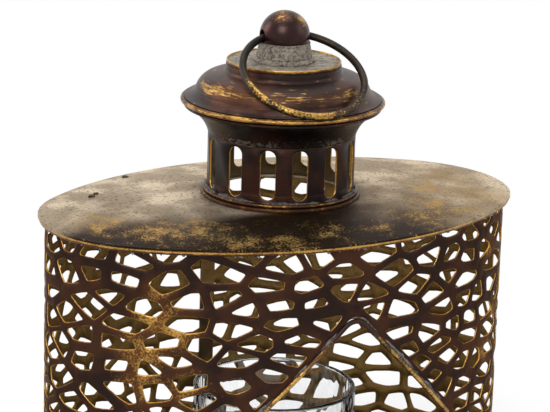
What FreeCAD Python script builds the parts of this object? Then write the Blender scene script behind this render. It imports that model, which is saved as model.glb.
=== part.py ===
import FreeCAD, Part
import math
import os
import random
import Sketcher
from FreeCAD import Placement, Rotation, Vector

# A punched tin lantern: an oval body of pierced sheet with a gabled window at the front, a low domed
# roof, a slotted gallery under a flared cap, a ball finial with a carrying ring, and a glass cylinder.
# Millimetres. The origin is the middle of the base, Z is up, X is the long way and -Y is the front.

SIZES = {
    # Roof: a low dome of sheet on a four-arc oval
    "roof_length": 304.6,
    "roof_width": 201.2,
    "roof_end_radius": 72.0,
    "roof_thickness": 1.2,
    "roof_rise": 6.0,
    "roof_flat_radius": 49.0,
    "rim_thickness": 2.0,
    "rim_width": 3.2,
    # Wall: one pierced sheet, soldered along the middle of the back
    "wall_height": 231.0,
    "wall_thickness": 1.2,
    "roof_overhang": 4.0,
    "edge_strip": 7.0,
    "branch_width": 4.6,
    "hole_pitch": 19.0,
    "seam_width": 10.0,
    "seam_thickness": 1.0,
    # Window and the round rod round it
    "window_width": 150.0,
    "window_sill": 6.0,
    "window_peak": 187.5,
    "window_slope": 45.0,
    "rod_diameter": 3.0,
    "rod_elbow_swell": 0.04,
    # Floor pan, with a pressed bead that keeps the glass in the middle
    "floor_thickness": 1.2,
    "floor_rim": 4.0,
    "floor_bead_radius": 60.0,
    "floor_bead_width": 5.0,
    "floor_bead_height": 1.0,
    # Gallery between roof and cap
    "tube_diameter": 89.0,
    "tube_wall": 1.5,
    "tube_height": 38.3,
    "slot_count": 13,
    "slot_width": 9.0,
    "slot_length": 30.0,
    "slot_foot": 6.6,
    "gallery_turn": -0.9,
    "foot_width": 3.7,
    "foot_height": 2.4,
    "foot_bead": 2.2,
    # Flared collar and the cap on it
    "collar_height": 17.0,
    "collar_neck_lap": 0.6,
    "collar_ledge": 3.6,
    "collar_thickness": 1.2,
    "collar_curve": 23.0,
    "brim_diameter": 122.8,
    "brim_bead": 4.4,
    "cap_thickness": 1.2,
    "cap_skirt": 4.4,
    "cap_valley_inset": 4.2,
    "cap_valley_rise": 3.4,
    "cap_bulge_run": 6.7,
    "cap_bulge_rise": 9.3,
    "cap_bulge_curve": 12.0,
    "cap_crown_run": 9.0,
    "cap_crown_rise": 2.3,
    "cap_crown_curve": 60.0,
    "cap_cove": 2.4,
    "cap_drum": 3.0,
    # Disc on the cap, finial and its fixing
    "disc_step": 0.3,
    "disc_thickness": 1.5,
    "disc_lip": 0.9,
    "knob_diameter": 30.6,
    "knob_seat": 15.2,
    "base_foot_radius": 17.0,
    "base_top_radius": 14.9,
    "base_height": 10.3,
    "stud_diameter": 6.0,
    "stud_cover": 1.6,
    "stud_tail": 9.0,
    "washer_diameter": 18.0,
    "washer_thickness": 1.5,
    "nut_flats": 10.0,
    "nut_height": 5.0,
    # Carrying ring
    "ring_wire": 4.5,
    "ring_radius": 36.6,
    "ring_bore": 8.0,
    "ring_turn": -5.5,
    "ring_fall": 29.8,
    # Glass cylinder
    "glass_diameter": 100.0,
    "glass_height": 114.3,
    "glass_wall": 3.0,
    "glass_floor": 5.0,
    "glass_heel": 2.0,
    # Fits
    "fit_gap": 0.1,
    "overrun": 4.0,
}

# Where branches spread from, as shares of the way from the front's middle to the back's and of the height
HUB_SHARES = (
    (-0.33, 0.73),
    (0.02, 0.90),
    (0.27, 0.62),
    (-0.29, 0.30),
    (0.34, 0.16),
    (0.43, 0.80),
    (-0.47, 0.52),
    (-0.60, 0.84),
    (0.55, 0.45),
    (-0.55, 0.16),
    (0.70, 0.78),
    (-0.78, 0.50),
    (0.80, 0.22),
    (0.93, 0.60),
    (-0.93, 0.86),
    (-0.88, 0.12),
)
FIRST_RING_SHARE = 0.85  # of the pitch, from a hub to the first ring of holes round it
NEXT_RING_SHARE = 1.02  # of the pitch, from one ring of holes to the next
CROWDED_SHARE = 0.66  # of the pitch, the least distance between the middles of two holes
JITTER_SHARE = 0.10  # of the pitch, how far a hole strays from its ring
SHORT_EDGE_SHARE = 0.22  # of the pitch, under which an edge of a hole is merged away
SMALL_HOLE_SHARE = 0.20  # of the pitch squared, under which a hole is left out
HOLE_REACH_SHARE = 1.2  # of the pitch, how far a hole can reach from its middle
NEIGHBOUR_SHARE = 3.0  # of the pitch, how far off another hole can still shape this one
MOST_CORNERS = 5
LEAST_ROUND_HUB = 6
SCATTER_SEED = 3

HALF_ROUND = "half round"

doc = FreeCAD.newDocument("lantern")


def fill_sheet():
    """The spreadsheet of driving sizes: a name, a plain number and the alias for it on each row."""
    table = doc.addObject("Spreadsheet::Sheet", "sizes")
    for row, (alias, number) in enumerate(SIZES.items(), start=1):
        table.set(f"A{row}", alias.replace("_", " "))
        table.set(f"B{row}", str(number))
        table.setAlias(f"B{row}", alias)
    doc.recompute()
    return table


sheet = fill_sheet()


class Size:
    """A size that carries both its number and the expression that the document keeps."""

    def __init__(self, number, text):
        self.number = number
        self.text = text

    def joined(self, other, sign, result):
        return Size(result, f"({self.text} {sign} {as_size(other).text})")

    def __add__(self, other):
        return self.joined(other, "+", self.number + as_size(other).number)

    def __sub__(self, other):
        return self.joined(other, "-", self.number - as_size(other).number)

    def __mul__(self, other):
        return self.joined(other, "*", self.number * as_size(other).number)

    def __truediv__(self, other):
        return self.joined(other, "/", self.number / as_size(other).number)

    def __neg__(self):
        return Size(-self.number, f"(0 - {self.text})")


class Sizes:
    """The sheet's sizes by name."""

    def __getattr__(self, alias):
        return Size(float(sheet.get(alias)), f"sizes.{alias}")


def as_size(value):
    """A Size as it is, and a plain number as a Size of itself."""
    return value if isinstance(value, Size) else Size(value, str(value))


def sine(angle):
    return Size(math.sin(math.radians(angle.number)), f"sin({angle.text})")


def cosine(angle):
    return Size(math.cos(math.radians(angle.number)), f"cos({angle.text})")


def root(size):
    return Size(math.sqrt(size.number), f"sqrt({size.text})")


size = Sizes()
nodes = []


def bind(item, **sizes):
    """Ties an object's properties to their expressions; a double underscore stands for a dot."""
    for name, value in sizes.items():
        item.setExpression(name.replace("__", "."), as_size(value).text)


def keep(item, label, height=None):
    """Names a finished sub-part, lifts it to its height and adds it to those that are written."""
    item.Label = label
    if height is not None:
        bind(item, Placement__Base__z=height)
    nodes.append(item)


def new_body(name):
    return doc.addObject("PartDesign::Body", name + "_body")


def new_sketch(body, name, plane, height=None):
    """A sketch on one of its body's own origin planes, lifted square to it by a height."""
    sketch = body.newObject("Sketcher::SketchObject", name)
    origin = [item for item in body.Origin.OriginFeatures if item.Role == plane][0]
    sketch.AttachmentSupport = (origin, [""])
    sketch.MapMode = "FlatFace"
    if height is not None:
        bind(sketch, AttachmentOffset__Base__z=height)
    return sketch


def draw_circles(sketch, radii):
    """Circles round the sketch's origin."""
    for radius in radii:
        circle = sketch.addGeometry(Part.Circle(Vector(), Vector(0, 0, 1), radius.number), False)
        sketch.addConstraint(Sketcher.Constraint("Coincident", circle, 3, -1, 1))
        tie(sketch, Sketcher.Constraint("Radius", circle, radius.number), radius)


def tie(sketch, constraint, value):
    """Adds a constraint and ties its number to the value's expression."""
    index = sketch.addConstraint(constraint)
    sketch.setExpression(f"Constraints[{index}]", value.text)


def curved_edge(start, end, radius):
    """The arc from start to end, and whether it runs the other way round in the sketch."""
    chord = end - start
    side = Vector(-chord.y, chord.x, 0).normalize()
    sagitta = math.sqrt(max(0, radius**2 - (chord.Length / 2) ** 2))
    middle = (start + end) / 2 + side * math.copysign(sagitta, radius)
    angles = [math.atan2(point.y - middle.y, point.x - middle.x) for point in (start, end)]
    clockwise = radius < 0
    if clockwise:
        angles.reverse()
    if angles[1] < angles[0]:
        angles[1] += 2 * math.pi
    circle = Part.Circle(middle, Vector(0, 0, 1), abs(radius))
    return Part.ArcOfCircle(circle, *angles), clockwise


def draw_outline(sketch, corners):
    """A closed outline in order round its corners (across, up).

    A third value on a corner is the radius of the arc that leads to it, below zero for an arc that
    turns clockwise, or HALF_ROUND for half a circle between two corners that are level.
    """
    points = [Vector(as_size(c[0]).number, as_size(c[1]).number, 0) for c in corners]
    ends = []
    for index in range(len(corners)):
        start, end, corner = points[index - 1], points[index], corners[index]
        if corner[2:] == (HALF_ROUND,):
            arc, _ = curved_edge(start, end, (end - start).Length / 2)
            edge = sketch.addGeometry(arc, False)
            tie(sketch, Sketcher.Constraint("DistanceY", -1, 1, edge, 3, end.y), as_size(corner[1]))
            ends.append((edge, 1, 2))
        elif len(corner) == 3:
            arc, clockwise = curved_edge(start, end, corner[2].number)
            edge = sketch.addGeometry(arc, False)
            bend = corner[2] if corner[2].number > 0 else -corner[2]
            tie(sketch, Sketcher.Constraint("Radius", edge, bend.number), bend)
            ends.append((edge, 2, 1) if clockwise else (edge, 1, 2))
        else:
            ends.append((sketch.addGeometry(Part.LineSegment(start, end), False), 1, 2))
    for index, corner in enumerate(corners):
        edge, _, last = ends[index]
        following, first, _ = ends[(index + 1) % len(ends)]
        sketch.addConstraint(Sketcher.Constraint("Coincident", edge, last, following, first))
        across, up = as_size(corner[0]), as_size(corner[1])
        if across.number == 0:
            sketch.addConstraint(Sketcher.Constraint("PointOnObject", edge, last, -2))
        else:
            tie(sketch, Sketcher.Constraint("DistanceX", -1, 1, edge, last, across.number), across)
        if up.number == 0:
            sketch.addConstraint(Sketcher.Constraint("PointOnObject", edge, last, -1))
        else:
            tie(sketch, Sketcher.Constraint("DistanceY", -1, 1, edge, last, up.number), up)


def revolved(name, corners):
    """A body turned about Z from an outline of (radius, height) corners."""
    body = new_body(name)
    sketch = new_sketch(body, name + "_outline", "XZ_Plane")
    draw_outline(sketch, corners)
    turned = body.newObject("PartDesign::Revolution", name + "_turned")
    turned.Profile = sketch
    turned.ReferenceAxis = (sketch, ["V_Axis"])
    turned.Angle = 360
    body.Tip = turned
    doc.recompute()
    return body


def padded(name, radii, height):
    """A body padded upwards from circles."""
    body = new_body(name)
    sketch = new_sketch(body, name + "_outline", "XY_Plane")
    draw_circles(sketch, radii)
    pad = body.newObject("PartDesign::Pad", name + "_pad")
    pad.Profile = sketch
    bind(pad, Length=height)
    body.Tip = pad
    doc.recompute()
    return body


def bead(name, radius, thickness):
    """A round wire bent into a flat ring: its radius to the wire's middle and the wire's thickness."""
    torus = doc.addObject("Part::Torus", name + "_wire")
    bind(torus, Radius1=radius, Radius2=thickness / 2)
    return torus


def coded(name, shape):
    """A sub-part whose shape is worked out below from the sheet's sizes."""
    feature = doc.addObject("Part::Feature", name + "_shape")
    feature.Shape = shape
    return feature


def level_wire(edges, height):
    """A closed wire of edges drawn at the base, lifted to a height."""
    wire = Part.Wire(Part.__sortEdges__(edges))
    wire.translate(Vector(0, 0, height))
    return wire


class Oval:
    """Two long side arcs and two round end arcs, tangent to each other."""

    def __init__(self, length, width, end_radius):
        self.length = length
        self.width = width
        self.end_radius = end_radius
        self.end_middle = length / 2 - end_radius
        side_over_end = width / 2 - end_radius
        self.side_radius = (self.end_middle**2 + (width / 2) ** 2 - end_radius**2) / (2 * side_over_end)
        self.side_middle = self.side_radius - width / 2
        self.side_angle = math.atan2(self.end_middle, self.side_middle)
        self.side_run = self.side_radius * self.side_angle
        self.end_run = end_radius * (math.pi / 2 - self.side_angle)
        self.half_round = 2 * (self.side_run + self.end_run)

    def inset(self, distance):
        """The oval that lies a distance inside this one."""
        return Oval(self.length - 2 * distance, self.width - 2 * distance, self.end_radius - distance)

    def place(self, run, out=0):
        """The point and outward direction at a run from the front's middle, a distance outside."""
        ahead = abs(run)
        if ahead <= self.side_run:
            middle, radius = Vector(0, self.side_middle, 0), self.side_radius
            turn = ahead / radius
        elif ahead <= self.side_run + 2 * self.end_run:
            middle, radius = Vector(self.end_middle, 0, 0), self.end_radius
            turn = self.side_angle + (ahead - self.side_run) / radius
        else:
            middle, radius = Vector(0, -self.side_middle, 0), self.side_radius
            turn = math.pi - (self.half_round - ahead) / radius
        outward = Vector(math.sin(turn), -math.cos(turn), 0)
        point = middle + outward * (radius + out)
        if run < 0:
            point.x, outward.x = -point.x, -outward.x
        return point, outward

    def arc(self, first, last, out=0):
        """The arc between two runs that lie on one of the four arcs."""
        points = [self.place(run, out)[0] for run in (first, (first + last) / 2, last)]
        return Part.Arc(*points).toShape()

    def spans(self):
        """The runs at which its arcs begin and end, with the back's arc in two halves."""
        side, shoulder = self.side_run, self.side_run + 2 * self.end_run
        right = ((side, shoulder), (shoulder, self.half_round))
        return ((-side, side), *right, *((-last, -first) for first, last in right))

    def wire(self, height):
        """The whole oval as a wire at a height."""
        return level_wire([self.arc(first, last) for first, last in self.spans()], height)

    def round_wire(self, radius, height):
        """A circle at a height, in arcs that face the oval's own."""
        arcs = []
        for first, last in self.spans():
            points = [self.place(run)[1] * radius for run in (first, (first + last) / 2, last)]
            arcs.append(Part.Arc(*points).toShape())
        return level_wire(arcs, height)

    def prism(self, low, high):
        """The oval as a solid between two heights."""
        return Part.Face(self.wire(low)).extrude(Vector(0, 0, high - low))


def plain(value):
    return value.number


roof_oval = Oval(plain(size.roof_length), plain(size.roof_width), plain(size.roof_end_radius))
wall_oval = roof_oval.inset(plain(size.roof_overhang) + plain(size.wall_thickness) / 2)
room_oval = wall_oval.inset(plain(size.wall_thickness) / 2)

rod_radius = size.rod_diameter / 2
tube_radius = size.tube_diameter / 2
roof_top = size.wall_height + size.roof_rise
collar_foot = roof_top + size.tube_height
cap_foot = collar_foot + size.collar_height
skirt_radius = size.brim_diameter / 2 - size.brim_bead - size.fit_gap
valley_radius = skirt_radius - size.cap_valley_inset
valley_height = size.cap_skirt + size.cap_valley_rise
bulge_radius = valley_radius - size.cap_bulge_run
bulge_height = valley_height + size.cap_bulge_rise
crown_radius = bulge_radius - size.cap_crown_run
crown_height = bulge_height + size.cap_crown_rise
drum_radius = crown_radius - size.cap_cove
cap_height = crown_height + size.cap_cove + size.cap_drum
disc_foot = cap_foot + cap_height
disc_top = disc_foot + size.disc_thickness
knob_middle = disc_top + size.knob_seat
stud_hole = size.stud_diameter / 2 + size.fit_gap


def make_floor_pan():
    """A flat pan with a turned-up rim inside the wall's foot and a pressed ring round the glass."""
    thick = plain(size.floor_thickness)
    outside = room_oval.inset(plain(size.fit_gap))
    inside = outside.inset(thick)
    rim_top = plain(size.floor_rim)
    hollow = inside.prism(thick, rim_top + plain(size.overrun))
    pan = outside.prism(0, rim_top).cut(hollow)
    middle = plain(size.floor_bead_radius)
    half_width = plain(size.floor_bead_width) / 2
    crest = Part.Arc(
        Vector(middle - half_width, 0, thick),
        Vector(middle, 0, thick + plain(size.floor_bead_height)),
        Vector(middle + half_width, 0, thick),
    ).toShape()
    foot = Part.LineSegment(crest.Vertexes[-1].Point, crest.Vertexes[0].Point).toShape()
    ring = Part.Face(Part.Wire([crest, foot])).revolve(Vector(), Vector(0, 0, 1), 360)
    keep(coded("floor_pan", pan.fuse(ring).removeSplitter()), "floor_pan")


def sheet_panel(first, last):
    """The plain wall sheet between two runs that lie on one arc."""
    half = plain(size.wall_thickness) / 2
    outer, inner = wall_oval.arc(first, last, half), wall_oval.arc(last, first, -half)
    ends = [
        Part.LineSegment(wall_oval.place(run, half)[0], wall_oval.place(run, -half)[0]).toShape()
        for run in (first, last)
    ]
    wire = Part.Wire(Part.__sortEdges__([outer, ends[1], inner, ends[0]]))
    return Part.Face(wire).extrude(Vector(0, 0, plain(size.wall_height)))


def front_prism(corners):
    """A prism through the front wall from its (x, z) corners."""
    near = -plain(size.roof_width) / 2 - plain(size.overrun)
    points = [Vector(x, near, z) for x, z in corners]
    wire = Part.makePolygon(points + points[:1])
    return Part.Face(wire).extrude(Vector(0, plain(size.roof_width) / 2, 0))


# The opening that the rod lines: half its width, its sill, its eave and its peak
rod_room = rod_radius + size.fit_gap / 2
slope = math.tan(math.radians(plain(size.window_slope)))
opening_side = plain(size.window_width / 2 + rod_room)
opening_sill = plain(size.window_sill - rod_room)
opening_peak = plain(size.window_peak + rod_room / cosine(size.window_slope))
opening_eave = opening_peak - opening_side * slope


def clipped(cell, point, inward):
    """A convex cell with what lies behind a line cut off; the line's inward side is kept."""
    kept = []
    for index, corner in enumerate(cell):
        before = cell[index - 1]
        depths = [(p[0] - point[0]) * inward[0] + (p[1] - point[1]) * inward[1] for p in (before, corner)]
        if (depths[0] < 0) != (depths[1] < 0):
            share = depths[0] / (depths[0] - depths[1])
            kept.append(tuple(a + (b - a) * share for a, b in zip(before, corner)))
        if depths[1] >= 0:
            kept.append(corner)
    return kept


def outside_window(run, height):
    """Whether a place on the unrolled wall is clear of the window."""
    under_gable = height < opening_peak - abs(run) * slope
    return not (abs(run) < opening_side and under_gable)


def hole_middles():
    """Middles of the holes: rings of them round each hub, out to where the next hub's rings begin."""
    pitch, tall, half = plain(size.hole_pitch), plain(size.wall_height), wall_oval.half_round
    chance = random.Random(SCATTER_SEED)
    hubs = [(along * half, up * tall) for along, up in HUB_SHARES]
    middles = []
    rings = int(tall / pitch)
    for ring in range(rings):
        radius = pitch * (FIRST_RING_SHARE + NEXT_RING_SHARE * ring)
        count = max(LEAST_ROUND_HUB, round(2 * math.pi * radius / pitch))
        for hub in hubs:
            start = chance.random() * 2 * math.pi
            for step in range(count):
                angle = start + 2 * math.pi * step / count
                stray = pitch * JITTER_SHARE * (2 * chance.random() - 1)
                run = hub[0] + (radius + stray) * math.cos(angle)
                height = hub[1] + (radius + stray) * math.sin(angle)
                if not (abs(run) < half and 0 < height < tall and outside_window(run, height)):
                    continue
                nearest = min(math.dist(other, (run, height)) for other in hubs)
                crowd = min((math.dist(other, (run, height)) for other in middles), default=pitch)
                if nearest > radius - pitch / 2 and crowd > pitch * CROWDED_SHARE:
                    middles.append((run, height))
    return middles


def hole_outline(middle, middles):
    """The hole round one middle: what is nearer to it than to the others, less half a branch."""
    run, height = middle
    pitch, half_branch = plain(size.hole_pitch), plain(size.branch_width) / 2
    strip, half = plain(size.edge_strip), wall_oval.half_round
    reach = pitch * HOLE_REACH_SHARE
    cell = [(run + a * reach, height + b * reach) for a, b in ((-1, -1), (1, -1), (1, 1), (-1, 1))]
    for other in middles:
        gap = math.dist(other, middle)
        if 0 < gap < pitch * NEIGHBOUR_SHARE:
            inward = ((run - other[0]) / gap, (height - other[1]) / gap)
            edge = [(a + b) / 2 + i * half_branch for a, b, i in zip(middle, other, inward)]
            cell = clipped(cell, edge, inward)
    side = math.copysign(1, run)
    cell = clipped(cell, (0, strip), (0, 1))
    cell = clipped(cell, (0, plain(size.wall_height) - strip), (0, -1))
    cell = clipped(cell, (side * (half - plain(size.seam_width) / 2 - half_branch), 0), (-side, 0))
    if height > opening_eave:
        margin = half_branch / math.cos(math.radians(plain(size.window_slope)))
        cell = clipped(cell, (0, opening_peak + margin), (side * slope, 1))
    else:
        cell = clipped(cell, (side * (opening_side + half_branch), 0), (side, 0))
    return simplified(cell)


def area(cell):
    return abs(sum(a[0] * b[1] - b[0] * a[1] for a, b in zip(cell, cell[1:] + cell[:1]))) / 2


def simplified(cell):
    """A cell with its shortest edges merged to a corner each, or nothing if it is too small."""
    pitch = plain(size.hole_pitch)
    while len(cell) > 3:
        lengths = [math.dist(cell[index - 1], cell[index]) for index in range(len(cell))]
        shortest = lengths.index(min(lengths))
        if lengths[shortest] > pitch * SHORT_EDGE_SHARE and len(cell) <= MOST_CORNERS:
            break
        merged = tuple((a + b) / 2 for a, b in zip(cell[shortest - 1], cell[shortest]))
        cell[shortest] = merged
        cell.pop(shortest - 1)
    return cell if len(cell) > 2 and area(cell) > SMALL_HOLE_SHARE * pitch**2 else []


def hole_cutter(cell):
    """A prism through the wall, square to it at the middle of the cell."""
    run = sum(corner[0] for corner in cell) / len(cell)
    point, outward = wall_oval.place(run)
    along = Vector(-outward.y, outward.x, 0)
    depth = outward * plain(size.overrun)
    corners = [point + along * (s - run) + Vector(0, 0, z) - depth for s, z in cell]
    return Part.Face(Part.makePolygon(corners + corners[:1])).extrude(depth * 2)


def make_wall():
    """The pierced sheet in panels that meet edge to edge, with branches left between its holes."""
    middles = hole_middles()
    holes = [cell for cell in (hole_outline(middle, middles) for middle in middles) if cell]
    side, end, half = wall_oval.side_run, wall_oval.end_run, wall_oval.half_round
    stops = (side, side + end, side + 2 * end, half - side / 2, half)
    plain_panels = [(first, last, sheet_panel(first, last)) for first, last in zip(stops, stops[1:])]
    plain_panels += [(-last, -first, sheet_panel(-last, -first)) for first, last in zip(stops, stops[1:])]
    front = sheet_panel(-side, side)
    tall, far = plain(size.wall_height), side + plain(size.overrun)
    gable = [(0, opening_peak), (opening_side, opening_eave), (opening_side, tall), (0, tall)]
    jamb = [(opening_side, 0), (far, 0), (far, tall), (opening_side, tall)]
    for corners in (gable, jamb):
        plain_panels.append((0, side, front.common(front_prism(corners))))
        plain_panels.append((-side, 0, front.common(front_prism([(-x, z) for x, z in corners]))))
    sill = [(opening_side, 0), (opening_side, opening_sill)]
    sill += [(-x, z) for x, z in reversed(sill)]
    panels = [front.common(front_prism(sill)).Solids[0]]
    for first, last, panel in plain_panels:
        near = [c for c in holes if max(p[0] for p in c) > first and min(p[0] for p in c) < last]
        pierced = panel.cut([hole_cutter(cell) for cell in near])
        panels.extend(sorted(pierced.Solids, key=lambda solid: -solid.Volume)[:1])
    keep(coded("wall", Part.makeCompound(panels)), "wall")
    print("holes in the wall:", len(holes), "panels:", len(panels))


def make_seam_strip():
    """The strip inside the back that the sheet's two ends are soldered to."""
    half, gap = wall_oval.half_round, plain(size.fit_gap)
    inner = -plain(size.wall_thickness) / 2 - gap
    reach_in = plain(size.seam_width) / 2
    low = plain(size.floor_rim) + gap
    corners = []
    for out in (inner, inner - plain(size.seam_thickness)):
        right = wall_oval.place(half - reach_in, out)[0]
        crown = wall_oval.place(half, out)[0]
        corners.append((right, crown, Vector(-right.x, right.y, 0)))
    arcs = [Part.Arc(*points).toShape() for points in corners]
    ends = [Part.LineSegment(corners[0][i], corners[1][i]).toShape() for i in (0, 2)]
    wire = Part.Wire(Part.__sortEdges__([arcs[0], ends[0], arcs[1], ends[1]]))
    strip = Part.Face(wire).extrude(Vector(0, 0, plain(size.wall_height) - low - gap))
    strip.translate(Vector(0, 0, low))
    keep(coded("back_seam_strip", strip), "back_seam_strip")


def front_point(across, height):
    """A point of the front wall's middle surface, seen square from the front."""
    depth = math.sqrt(wall_oval.side_radius**2 - across**2)
    return Vector(across, wall_oval.side_middle - depth, height)


def make_window_frame():
    """A round rod bent to the window's outline and soldered into the sheet's edge."""
    side, sill, peak = plain(size.window_width / 2), plain(size.window_sill), plain(size.window_peak)
    eave = peak - side * slope
    right = [front_point(side, sill), front_point(side, eave), front_point(0, peak)]
    left = [Vector(-p.x, p.y, p.z) for p in right]
    half_up = front_point(side / 2, (eave + peak) / 2)
    runs = [
        Part.Arc(left[0], front_point(0, sill), right[0]).toShape(),
        Part.LineSegment(right[0], right[1]).toShape(),
        Part.Arc(right[1], half_up, right[2]).toShape(),
        Part.Arc(left[2], Vector(-half_up.x, half_up.y, half_up.z), left[1]).toShape(),
        Part.LineSegment(left[1], left[0]).toShape(),
    ]
    radius = plain(rod_radius)
    pieces = []
    for run in runs:
        start = run.valueAt(run.FirstParameter)
        section = Part.Wire(Part.makeCircle(radius, start, run.tangentAt(run.FirstParameter)))
        pieces.append(Part.Wire(run).makePipeShell([section], True, True))
    elbow_radius = plain(rod_radius + size.rod_elbow_swell)
    elbows = [Part.makeSphere(elbow_radius, point) for point in right + left[:2]]
    keep(coded("window_frame", pieces[0].fuse(pieces[1:] + elbows)), "window_frame")


def make_roof():
    """A shallow dome of sheet from the oval rim up to a flat ring that the gallery stands on."""
    thick, foot = plain(size.roof_thickness), plain(size.wall_height)
    flat, top = plain(size.roof_flat_radius), plain(roof_top)

    def dome(drop):
        wires = [roof_oval.wire(foot - drop), roof_oval.round_wire(flat, top - drop)]
        return Part.makeLoft(wires, True, True)

    hole = Part.makeCylinder(plain(tube_radius - size.tube_wall), top, Vector())
    keep(coded("roof", dome(0).cut([dome(thick), hole])), "roof")


def make_roof_rim():
    """The flat band soldered under the roof's edge, outside the wall."""
    low, high = plain(size.wall_height - size.rim_thickness), plain(size.wall_height)
    inner = roof_oval.inset(plain(size.rim_width))
    past = plain(size.overrun)
    band = roof_oval.prism(low, high).cut(inner.prism(low - past, high + past))
    keep(coded("roof_rim", band), "roof_rim")


def make_gallery():
    """The slotted tube with its foot ring and bead."""
    body = padded("gallery_tube", (tube_radius, tube_radius - size.tube_wall), size.tube_height)
    solid_volume = body.Shape.Volume
    sketch = new_sketch(body, "slot_outline", "XZ_Plane")
    half, foot = size.slot_width / 2, size.slot_foot
    low, high = foot + half, foot + size.slot_length - half
    corners = ((half, low, HALF_ROUND), (half, high), (-half, high, HALF_ROUND), (-half, low))
    draw_outline(sketch, corners)
    slot = body.newObject("PartDesign::Pocket", "slot")
    slot.Profile = sketch
    bind(slot, Length=tube_radius + size.overrun)
    doc.recompute()
    pattern = body.newObject("PartDesign::PolarPattern", "slots")
    pattern.Originals = [slot]
    pattern.Axis = ([item for item in body.Origin.OriginFeatures if item.Role == "Z_Axis"][0], [""])
    pattern.Angle = 360
    bind(pattern, Occurrences=size.slot_count)
    body.Tip = pattern
    doc.recompute()
    print("slots cut", round(solid_volume - body.Shape.Volume), "mm3 from the gallery tube")
    body.Placement = Placement(Vector(), Rotation(Vector(0, 0, 1), plain(size.gallery_turn)))
    keep(body, "gallery_tube", roof_top)

    foot_inner = tube_radius + size.fit_gap / 2
    foot_ring = padded("gallery_foot", (tube_radius + size.foot_width, foot_inner), size.foot_height)
    keep(foot_ring, "gallery_foot", roof_top)
    bead_middle = foot_inner + size.foot_bead / 2
    foot_bead = bead("gallery_foot_bead", bead_middle, size.foot_bead)
    keep(foot_bead, "gallery_foot_bead", roof_top + size.foot_height + size.foot_bead / 2)


def make_collar():
    """A spun flare from the tube's top to the brim, with a narrow ledge that the cap stands on."""
    thick, neck = size.collar_thickness, tube_radius + size.collar_neck_lap
    mouth = size.brim_diameter / 2 - size.brim_bead / 2
    tall = size.collar_height
    inner_neck = neck - thick
    inner_mouth = mouth - size.collar_ledge
    corners = (
        (inner_neck, 0),
        (neck, 0),
        (mouth, tall - thick, -size.collar_curve),
        (mouth, tall),
        (inner_mouth, tall),
        (inner_mouth, tall - thick * 2),
        (inner_neck, thick, size.collar_curve + thick),
    )
    keep(revolved("gallery_collar", corners), "gallery_collar", collar_foot)


def make_cap():
    """A spun cap: a skirt inside the wired brim, a bulge, a cove and a short drum, hollow inside."""
    corners = (
        (0, 0),
        (skirt_radius, 0),
        (skirt_radius, size.cap_skirt),
        (valley_radius, valley_height),
        (bulge_radius, bulge_height, size.cap_bulge_curve),
        (crown_radius, crown_height, size.cap_crown_curve),
        (drum_radius, crown_height + size.cap_cove, -size.cap_cove),
        (drum_radius, cap_height),
        (0, cap_height),
    )
    body = revolved("cap", corners)
    turned = body.Tip
    lowest = min(range(len(turned.Shape.Faces)), key=lambda i: turned.Shape.Faces[i].CenterOfMass.z)
    shell = body.newObject("PartDesign::Thickness", "cap_shell")
    shell.Base = (turned, [f"Face{lowest + 1}"])
    shell.Reversed = True
    bind(shell, Value=size.cap_thickness)
    body.Tip = shell
    doc.recompute()
    sketch = new_sketch(body, "cap_stud_outline", "XY_Plane", cap_height)
    draw_circles(sketch, (stud_hole,))
    pocket = body.newObject("PartDesign::Pocket", "cap_stud_hole")
    pocket.Profile = sketch
    bind(pocket, Length=size.cap_thickness + size.overrun)
    body.Tip = pocket
    doc.recompute()
    keep(body, "cap", cap_foot)

    wire_middle = size.brim_diameter / 2 - size.brim_bead / 2
    brim = bead("brim_bead", wire_middle, size.brim_bead)
    keep(brim, "brim_bead", cap_foot + size.brim_bead / 2)


def make_disc():
    """The flat disc on the cap's drum, with a thin raised lip at its edge."""
    edge, thick, lip = drum_radius - size.disc_step, size.disc_thickness, size.disc_lip
    corners = (
        (stud_hole, 0),
        (edge, 0),
        (edge, thick + lip / 2),
        (edge - lip, thick + lip / 2, HALF_ROUND),
        (edge - lip, thick),
        (stud_hole, thick),
    )
    keep(revolved("cap_disc", corners), "cap_disc", disc_foot)


def cylinder(name, radius, height, foot):
    """A plain upright cylinder."""
    solid = doc.addObject("Part::Cylinder", name)
    bind(solid, Radius=radius, Height=height, Placement__Base__z=foot)
    return solid


def ball(name, radius):
    """A ball round the middle of the finial."""
    solid = doc.addObject("Part::Sphere", name)
    bind(solid, Radius=radius, Placement__Base__z=knob_middle)
    return solid


def cut(name, base, tools):
    """A base less its tools, one after the other."""
    for index, tool in enumerate(tools):
        result = doc.addObject("Part::Cut", f"{name}_cut_{index}")
        result.Base = base
        result.Tool = tool
        base = result
    return base


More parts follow.
